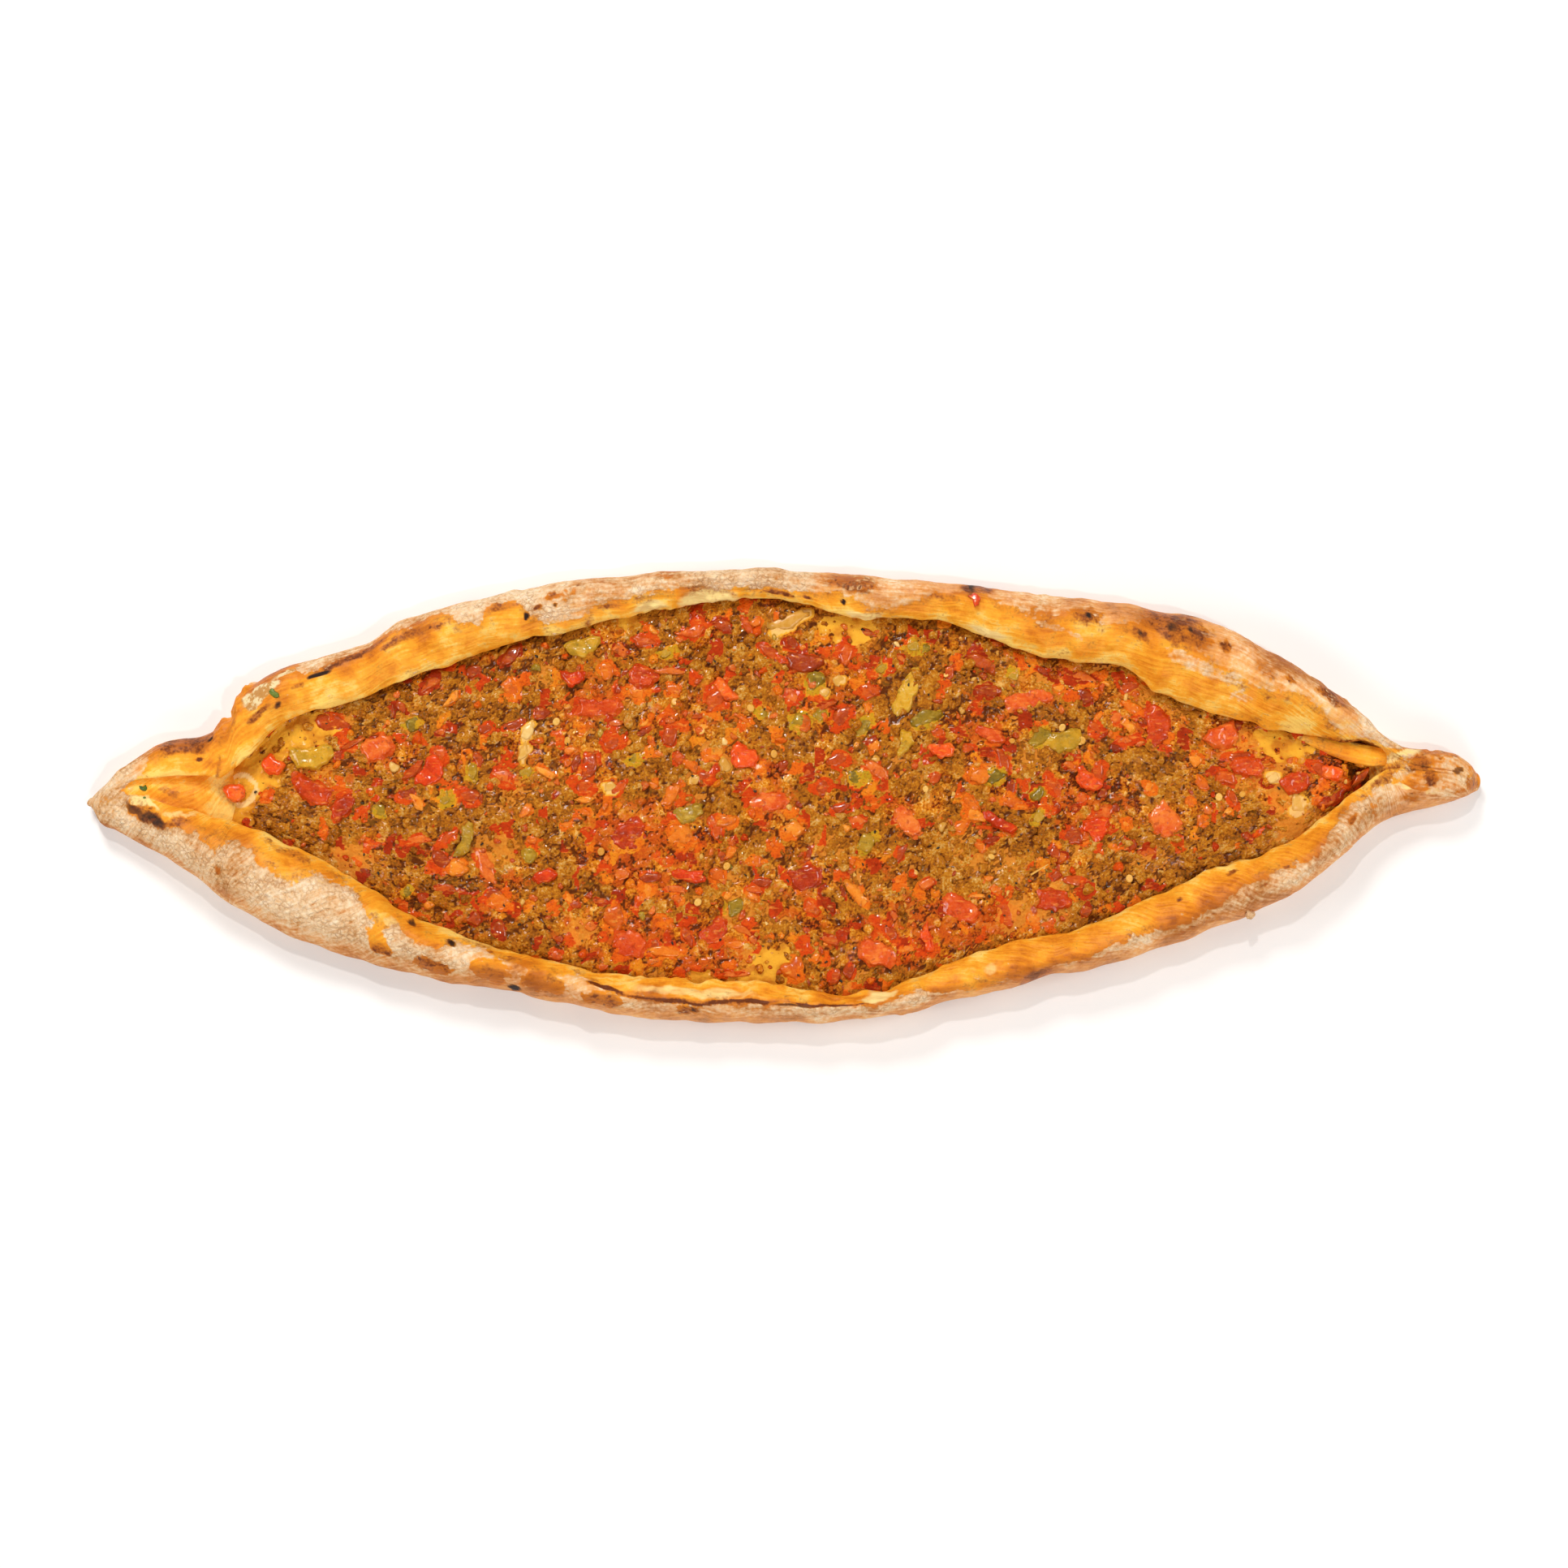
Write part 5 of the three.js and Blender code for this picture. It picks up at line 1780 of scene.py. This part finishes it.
    def build(self) -> None:
        """Makes the bed as one closed skin, from its flat underside to its crumbly top."""
        low, high = (v.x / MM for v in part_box(self.node))
        x = np.linspace(low, high, int((high - low) / self.spacing))
        near, far = (self.boat.root(rim, x) - rim.value * self.clear for rim in (N, F))
        t = np.linspace(0, 1, self.across)
        y = near[:, None] + (far - near)[:, None] * t
        grid = np.column_stack([np.repeat(x, len(t)), y.ravel()])
        height, marks = self.surface(grid)
        inside = rise(0, self.skirt, np.minimum(t, 1 - t))[None]
        height = self.edge_top * (1 - inside) + height.reshape(y.shape) * inside
        beside = (self.boat.FLOOR - 1, self.boat.FLOOR + 1)
        floor = np.maximum(*(self.boat.line(k, 1, x) for k in beside)) + self.clear
        # Both ends slope down to the bread.
        first, last = self.end_slopes
        lift = rise(0, 1, np.minimum((x - low) / first, (high - x) / last))[:, None]
        height = floor[:, None] + np.maximum(height - floor[:, None], 0.2) * lift
        floor = floor - self.dip * (1 - lift[:, 0])
        height -= (self.dip - 0.1) * (1 - lift)
        top = np.concatenate([grid.reshape(*y.shape, 2), height[..., None]], axis=2)
        corners = [np.stack([x, side, floor], axis=1)[:, None] for side in (far, near)]
        shape = skin_of(np.concatenate([top, *corners], axis=1))
        for mark, values in marks.items():
            rows = np.pad(values.reshape(y.shape), ((0, 0), (0, 2)), "edge")
            shape.marks[mark] = np.append(rows, [0.5, 0.5])
        shape.piece(self.node + "_bed", MINCE, "minced_meat", self.node)


@dataclass
class Toppings:
    """The berry-sized pieces of tomato and pepper, each a softened copy of its solid."""

    voxel: float = 0.45
    smoothing: int = 2
    wrinkle: float = 0.28
    ragged: float = 0.4
    pit: float = 0.35
    kinds: dict[str, Finish] = field(default_factory=lambda: {
        "tomato": TOMATO, "red_pepper": RED_PEPPER, "green_pepper": GREEN_PEPPER,
    })

    def names(self) -> list[str]:
        """Lists the solids of these kinds."""
        return sorted(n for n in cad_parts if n[:-3] in self.kinds)

    def soften(self, node: str) -> tuple[Array, Array]:
        """Remeshes a solid finely and rounds its edges.

        Args:
            node: the solid's name.

        Returns:
            The points in mm and the faces.
        """
        copy = bpy.data.objects.new("softened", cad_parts[node].data.copy())
        bpy.context.scene.collection.objects.link(copy)
        remesh = copy.modifiers.new("remesh", "REMESH")
        remesh.mode = "VOXEL"
        remesh.voxel_size = self.voxel * MM
        smooth = copy.modifiers.new("smooth", "SMOOTH")
        smooth.iterations = self.smoothing
        smooth.factor = 0.5
        bpy.context.view_layer.update()
        result = copy.evaluated_get(bpy.context.evaluated_depsgraph_get()).to_mesh()
        points = np.array([v.co for v in result.vertices]) / MM
        faces = [list(f.vertices) for f in result.polygons]
        bpy.data.objects.remove(copy)
        return points, faces

    def build(self) -> None:
        """Makes every piece, with its own tone."""
        for i, node in enumerate(self.names()):
            kind = node[:-3]
            points, faces = self.soften(node)
            middle = points.mean(axis=0)
            lumps = swell(points, (1, 3.2, 60 + i), (0.6, 1.3, 90 + i))
            away = points - middle
            away /= np.linalg.norm(away, axis=1, keepdims=True) + TINY
            torn = swell(points * [1, 1, 0.3], (1, 1.9, 150 + i))
            torn += swell(points, (0.5, 4.4, 180 + i))
            sideways = rise(0.5, 0.9, np.abs(away[:, :2]).max(axis=1))[:, None]
            away[:, :2] *= 1 + self.ragged / self.wrinkle * sideways
            points = points + away * (self.wrinkle * (0.6 * lumps + 0.6 * torn) - 0.1)[:, None]
            above = rise(0.3, 1.4, points[:, 2] - middle[2])
            points[:, 2] -= self.pit * above * (swell(points, (1, 4.5, 120 + i)) > 0.1)
            tone = np.clip(chance(np.array([[i]]), 7)[0] + 0.15 * lumps, 0, 1)
            shape = Shape(points, faces, {"tone": tone})
            shape.piece(node + "_soft", self.kinds[kind], kind, node)


# Each kind's finish and material slot.
CUT_LOOKS: dict[Cut, tuple[Finish, str]] = {
    Cut.RED: (RED_DICE, "red_pepper"),
    Cut.BROWNED: (BROWNED_DICE, "tomato"),
    Cut.ORANGE: (ORANGE_DICE, "red_pepper"),
    Cut.GREEN: (GREEN_DICE, "green_pepper"),
    Cut.PALE: (ONION, "minced_meat"),
}


@dataclass
class Scatter:
    """Everything small that lies in and on the mince, each kind joined to one piece."""

    boat: BreadBoat
    bed: MinceBed
    toppings: Toppings
    seed: int = 17
    lip_clear: float = 1.2
    crumbs: tuple[tuple[str, int, float, float, int], ...] = (
        ("mince_crumbs", 1400, 2.0, 4.4, 2),
        ("fine_mince_crumbs", 3600, 0.9, 2.1, 1),
    )
    small_dice: tuple[tuple[Cut, int], ...] = (
        (Cut.RED, 240), (Cut.BROWNED, 240), (Cut.ORANGE, 170), (Cut.GREEN, 50), (Cut.PALE, 90)
    )
    seeds: int = 22
    herbs: int = 560
    # Both ends of the stalk's middle line, and its half width at them.
    stalk: Rows = ((79.2, -26.4, 9.2), (84.6, -23.2, 11.8))
    stalk_half: tuple[float, float] = (0.42, 0.18)
    # Where they may lie: the first x or y and how far on it goes.
    spread: tuple[tuple[float, float], ...] = ((-172, 360), (-67, 134))
    # Pepper seeds that lie open: x and y.
    open_seeds: tuple[tuple[float, float], ...] = (
        (-10.8, 27.6), (-73.8, 23.4), (-70.1, 17.1), (-26.8, 20.2), (-3.2, 12.6), (-35.4, 29.7),
        (29.9, 11.3), (95.8, 16.8), (90.0, 21.3), (-58.8, -18.9), (-18.4, -23.6), (-27.6, -35.2),
        (41.7, -25.7), (96.3, 17.1), (140.2, -1.3), (110.8, -27.6),
    )
    # What is in the way of a loose bit: x, y, length, width and turn of each.
    large: list[tuple[float, ...]] = field(init=False)
    open: list[tuple[float, ...]] = field(init=False)
    rng: Dice = field(init=False)

    # Steps of a spread that fills a square evenly: 1/g and 1/g^2, where g^3 = g + 1.
    EVEN_STEPS = (0.7548776662, 0.5698402910)

    def __post_init__(self) -> None:
        """Notes what is in the way of a loose bit: the large toppings and the open bits."""
        self.rng = np.random.default_rng(self.seed)
        boxes = [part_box(name) for name in self.toppings.names()]
        self.large = [
            (*((low + high) / 2 / MM).xy, *((high - low) / MM).xy, 0.0) for low, high in boxes
        ]
        self.open = [row for rows in BITS.values() for row in rows]

    def free(self, places: Array, half: Array, keep_large: float, keep_open: float) -> Array:
        """Says which places are free.

        Args:
            places: x and y of n points.
            half: half the size of what lies at each.
            keep_large: how much of each large topping's width is kept free, 0 to 1.
            keep_open: the same for the open bits.

        Returns:
            n truth values.
        """
        x, y = places.T
        found = y + half + self.lip_clear < self.boat.lip(F, x)
        found &= y - half - self.lip_clear > self.boat.lip(N, x)
        for rows, keep in ((self.large, keep_large), (self.open, keep_open)):
            for cx, cy, long, wide, turn in rows:
                grown = (cx, cy, keep * long, keep * wide, turn)
                found &= in_ellipse(places, grown, 0.8 * float(np.mean(half)) + 0.01) > 1
        return found

    def places(
        self, count: int, shift: float, half: Array, keep: tuple[float, float], meaty: float = 0.0
    ) -> tuple[Array, Array]:
        """Spreads places evenly but irregularly over the mince.

        Args:
            count: how many are tried.
            shift: where the even spread starts, so that kinds don't coincide.
            half: half the size of what lies at each place.
            keep: how much of the large toppings and of the open bits is kept free.
            meaty: how much more lies where there is more tomato, or less if it is below 0.

        Returns:
            x and y of the places that are free, and which of the tries they are.
        """
        n = np.arange(1, count + 1)
        places = np.stack([
            first + reach * ((n * step + way * shift) % 1)
            for way, step, (first, reach) in zip((1, 2), self.EVEN_STEPS, self.spread)
        ], axis=1)
        likely = 0.65 + meaty * self.bed.redness(places)
        found = self.free(places, half, *keep) & (chance(n[:, None], 77) < likely)
        return places[found], n[found] - 1

    def laid(
        self, forms: Array, places: Array, sunk: Array, tilt: float, yaw: Array | None = None
    ) -> Array:
        """Turns and lays forms on the mince.

        Args:
            forms: n forms about their own middle.
            places: x and y of each.
            sunk: how far each form's middle lies under the surface.
            tilt: how far they lean at most, in radians.
            yaw: how far each is turned, in radians; by chance if not given.

        Returns:
            The forms in place.
        """
        n, rng = len(forms), self.rng
        spun = rng.uniform(0, 2 * np.pi, n) if yaw is None else yaw
        turn = turns(spun, rng.uniform(-tilt, tilt, n), rng.uniform(-tilt, tilt, n))
        height, _ = self.bed.surface(places)
        middle = np.column_stack([places, height - sunk])
        return np.einsum("nij,nmj->nmi", turn, forms) + middle[:, None]

    def build(self) -> None:
        """Makes every kind."""
        for row in self.crumbs:
            self.crumb_piece(*row)
        for i, (cut, tries) in enumerate(self.small_dice):
            self.cut_piece(i, cut, tries)
        self.seed_piece()
        self.herb_piece()
        self.stalk_piece()

    def crumb_piece(
        self, name: str, tries: int, small: float, large: float, detail: int
    ) -> None:
        """Makes loose crumbs of mince.

        Args:
            name: the piece's name.
            tries: how many are tried.
            small: the least size.
            large: the greatest size.
            detail: how fine their meshes are.
        """
        rng = self.rng
        size = rng.uniform(small, large, (tries, 1)) * rng.uniform(0.5, 1.1, (tries, 3))
        places, kept = self.places(tries, 0.31 + 0.17 * detail, size[:, 0] / 2, (0.66, 0.6), -0.3)
        size, n = size[kept], len(kept)
        forms, faces = Lumps(0.42, detail).forms(size, rng)
        laid = self.laid(forms, places, 0.12 * size[:, 2], 1.5)
        marks = {m: np.zeros(n) for m in ("deep", "oil", "dough")}
        marks |= {"tone": rng.uniform(0.1, 1, n), "hue": rng.uniform(0.1, 0.6, n)}
        marks["red"] = self.bed.redness(places)
        marks["flesh"] = 1.0 * (rng.random(n) < 0.12)
        scattered(laid, faces, marks).piece(name, MINCE, "minced_meat")

    def cut_piece(self, order: int, cut: Cut, tries: int) -> None:
        """Makes one kind of cut bits: the open ones in their places, and small ones all over.

        Args:
            order: the kind's number, which shifts its spread.
            cut: the kind.
            tries: how many small ones are tried.
        """
        rng, rows = self.rng, np.array(BITS[cut], float)
        thick = np.clip(0.45 * rows[:, 3], 1.4, 2.6)
        size = np.column_stack([0.96 * rows[:, 2], 0.96 * rows[:, 3], thick])
        forms, faces = Chunks().forms(size, rng.uniform(0, 0.2, len(size)), rng)
        sunk = thick / 2 - rng.uniform(0.1, 0.6, len(size))
        laid = self.laid(forms, rows[:, :2], sunk, 0.1, np.radians(rows[:, 4]))
        shapes = [scattered(laid, faces, {"tone": rng.random(len(size))})]

        long = rng.uniform(1.3, 3.6, tries)
        wide, thick = long * rng.uniform(0.4, 0.9, tries), rng.uniform(0.9, 1.8, tries)
        size = np.stack([long, wide, thick], axis=1)
        places, kept = self.places(tries, 0.09 + 0.13 * order, 0.4 * long, (0.9, 0.8), 0.4)
        size = size[kept]
        forms, faces = Chunks(detail=2).forms(size, rng.uniform(0, 0.3, len(size)), rng)
        laid = self.laid(forms, places, size[:, 2] * rng.uniform(-0.2, 0.3, len(size)), 0.4)
        shapes.append(scattered(laid, faces, {"tone": rng.random(len(size))}))
        finish, slot = CUT_LOOKS[cut]
        joined(shapes).piece(cut.value, finish, slot)

    def seed_piece(self) -> None:
        """Makes the pepper seeds: thin discs with a dimple."""
        rng = self.rng
        across = rng.uniform(1.8, 2.6, self.seeds)
        places, kept = self.places(self.seeds, 0.83, across / 2, (0.5, 0.3))
        places = np.concatenate([np.array(self.open_seeds), places])
        across = np.concatenate([np.full(len(self.open_seeds), 2.7), across[kept]])
        directions, faces = ball(3)
        dimple = 1 - 0.55 * np.exp(-6 * (directions[:, 0] ** 2 + directions[:, 1] ** 2))
        disc = directions * [1, 0.85, 0.36] * np.column_stack([np.ones((len(dimple), 2)), dimple])
        forms = disc[None] * across[:, None, None] / 2
        laid = self.laid(forms, places, np.full(len(places), -0.45), 0.4)
        shape = scattered(laid, faces, {"tone": rng.random(len(places))})
        shape.piece("pepper_seeds", SEED, "red_pepper")

    def herb_piece(self) -> None:
        """Makes the dark flecks of dried herbs and burnt crumbs."""
        rng = self.rng
        long = rng.uniform(0.4, 1.5, self.herbs)
        wide = long * rng.uniform(0.35, 0.8, self.herbs)
        size = np.stack([long, wide, np.full(self.herbs, 0.4)], axis=1)
        places, kept = self.places(self.herbs, 0.13, long, (0.0, 0.0))
        forms, faces = Lumps(0.45, 1).forms(size[kept], rng)
        laid = self.laid(forms, places, np.full(len(kept), -0.3), 0.6)
        shape = scattered(laid, faces, {"tone": rng.random(len(kept))})
        shape.piece("herb_flecks", HERB, "minced_meat")

    def stalk_piece(self) -> None:
        """Lays the one thin stalk of dried herb that sticks up out of the mince."""
        t = np.linspace(0, 1, 15)[:, None]
        start, end = np.array(self.stalk)
        middle = start + (end - start) * t + np.array([0, 0, 0.5]) * np.sin(np.pi * t)
        angle = np.linspace(0, 2 * np.pi, 9)[:-1]
        ring = np.stack([0 * angle, np.cos(angle), np.sin(angle)], axis=1)
        root, tip = self.stalk_half
        rings = middle[:, None] + ring[None] * (root + (tip - root) * t[:, None])
        shape = skin_of(rings)
        shape.marks = {"tone": np.full(len(shape.points), 0.8)}
        shape.piece("herb_stalk", SEED, "minced_meat")


# ---- The stage ----


@dataclass
class Studio:
    """A pale floor, soft light from above and behind, and the camera nearly overhead."""

    # Lengths here are in metres. The camera's elevation is in degrees, its lens in mm.
    elevation: float = 83.0
    distance: float = 0.71
    lens: float = 50.4
    sensor: float = 36.0
    target: tuple[float, float, float] = (0.0, 0.0032, 0.008)
    floor_size: float = 6.0
    floor_colour: str = "#fbf9f7"
    sky_colour: str = "#fffdfb"
    sky_strength: float = 0.2
    # Name, place, size, power in watts and colour. The sparks give the wet glints.
    lamps: tuple[tuple[str, tuple[float, ...], float, float, str], ...] = (
        ("key_light", (-0.25, 0.75, 0.8), 0.24, 5.8, "#fffdfa"),
        ("right_light", (0.95, 0.1, 0.6), 0.36, 3.4, "#ffffff"),
        ("left_light", (-0.95, -0.1, 0.6), 0.36, 3.4, "#ffffff"),
        ("front_light", (0.1, -0.95, 0.75), 0.45, 3.9, "#fffcf8"),
        ("far_spark", (-0.1, 0.45, 0.95), 0.03, 1.8, "#ffffff"),
        ("near_spark", (0.3, -0.35, 0.95), 0.03, 1.6, "#ffffff"),
    )

    def floor(self) -> None:
        """Lays the floor."""
        half = self.floor_size / 2
        corners = [(x * half, y * half, 0) for x, y in ((-1, -1), (1, -1), (1, 1), (-1, 1))]
        mesh = bpy.data.meshes.new("floor")
        mesh.from_pydata(corners, [], [(0, 1, 2, 3)])
        material = bpy.data.materials.new("matt_white_card")
        material.use_nodes = True
        shader = material.node_tree.nodes["Principled BSDF"]
        shader.inputs["Base Color"].default_value = linear(self.floor_colour)
        shader.inputs["Roughness"].default_value = 0.9
        mesh.materials.append(material)
        made = bpy.data.objects.new("floor", mesh)
        bpy.context.scene.collection.objects.link(made)

    def lamp(
        self, name: str, place: tuple[float, ...], size: float, power: float, colour: str
    ) -> None:
        """Hangs a square soft light that faces the middle.

        Args:
            name: its name.
            place: where it hangs.
            size: the side of the square.
            power: in watts.
            colour: hex colour of its light.
        """
        light = bpy.data.lights.new(name, "AREA")
        light.size, light.energy, light.color = size, power, linear(colour)[:3]
        made = bpy.data.objects.new(name, light)
        made.location = place
        made.rotation_euler = (-Vector(place)).to_track_quat("-Z", "Y").to_euler()
        bpy.context.scene.collection.objects.link(made)

    def build(self) -> None:
        """Sets up the floor, the lights, the sky and the camera."""
        self.floor()
        for row in self.lamps:
            self.lamp(*row)
        world = bpy.data.worlds.new("white_room")
        world.use_nodes = True
        background = world.node_tree.nodes["Background"]
        background.inputs["Color"].default_value = linear(self.sky_colour)
        background.inputs["Strength"].default_value = self.sky_strength
        scene = bpy.context.scene
        scene.world = world
        scene.view_settings.view_transform = "Standard"
        camera = bpy.data.cameras.new("camera")
        camera.lens, camera.sensor_width = self.lens, self.sensor
        made = bpy.data.objects.new("camera", camera)
        up = math.radians(self.elevation)
        back = Vector((0, -math.cos(up), math.sin(up)))
        made.location = Vector(self.target) + self.distance * back
        made.rotation_euler = (-back).to_track_quat("-Z", "Y").to_euler()
        scene.collection.objects.link(made)
        scene.camera = made


def main() -> None:
    """Builds the pide and its stage."""
    logging.basicConfig(level=logging.INFO, format="%(name)s: %(message)s")
    boat = BreadBoat()
    boat.build()
    InnerFold().build()
    RimBits(boat).build()
    bed = MinceBed(boat)
    bed.build()
    toppings = Toppings()
    toppings.build()
    Scatter(boat, bed, toppings).build()
    Studio().build()


if __name__ == "__main__":
    main()
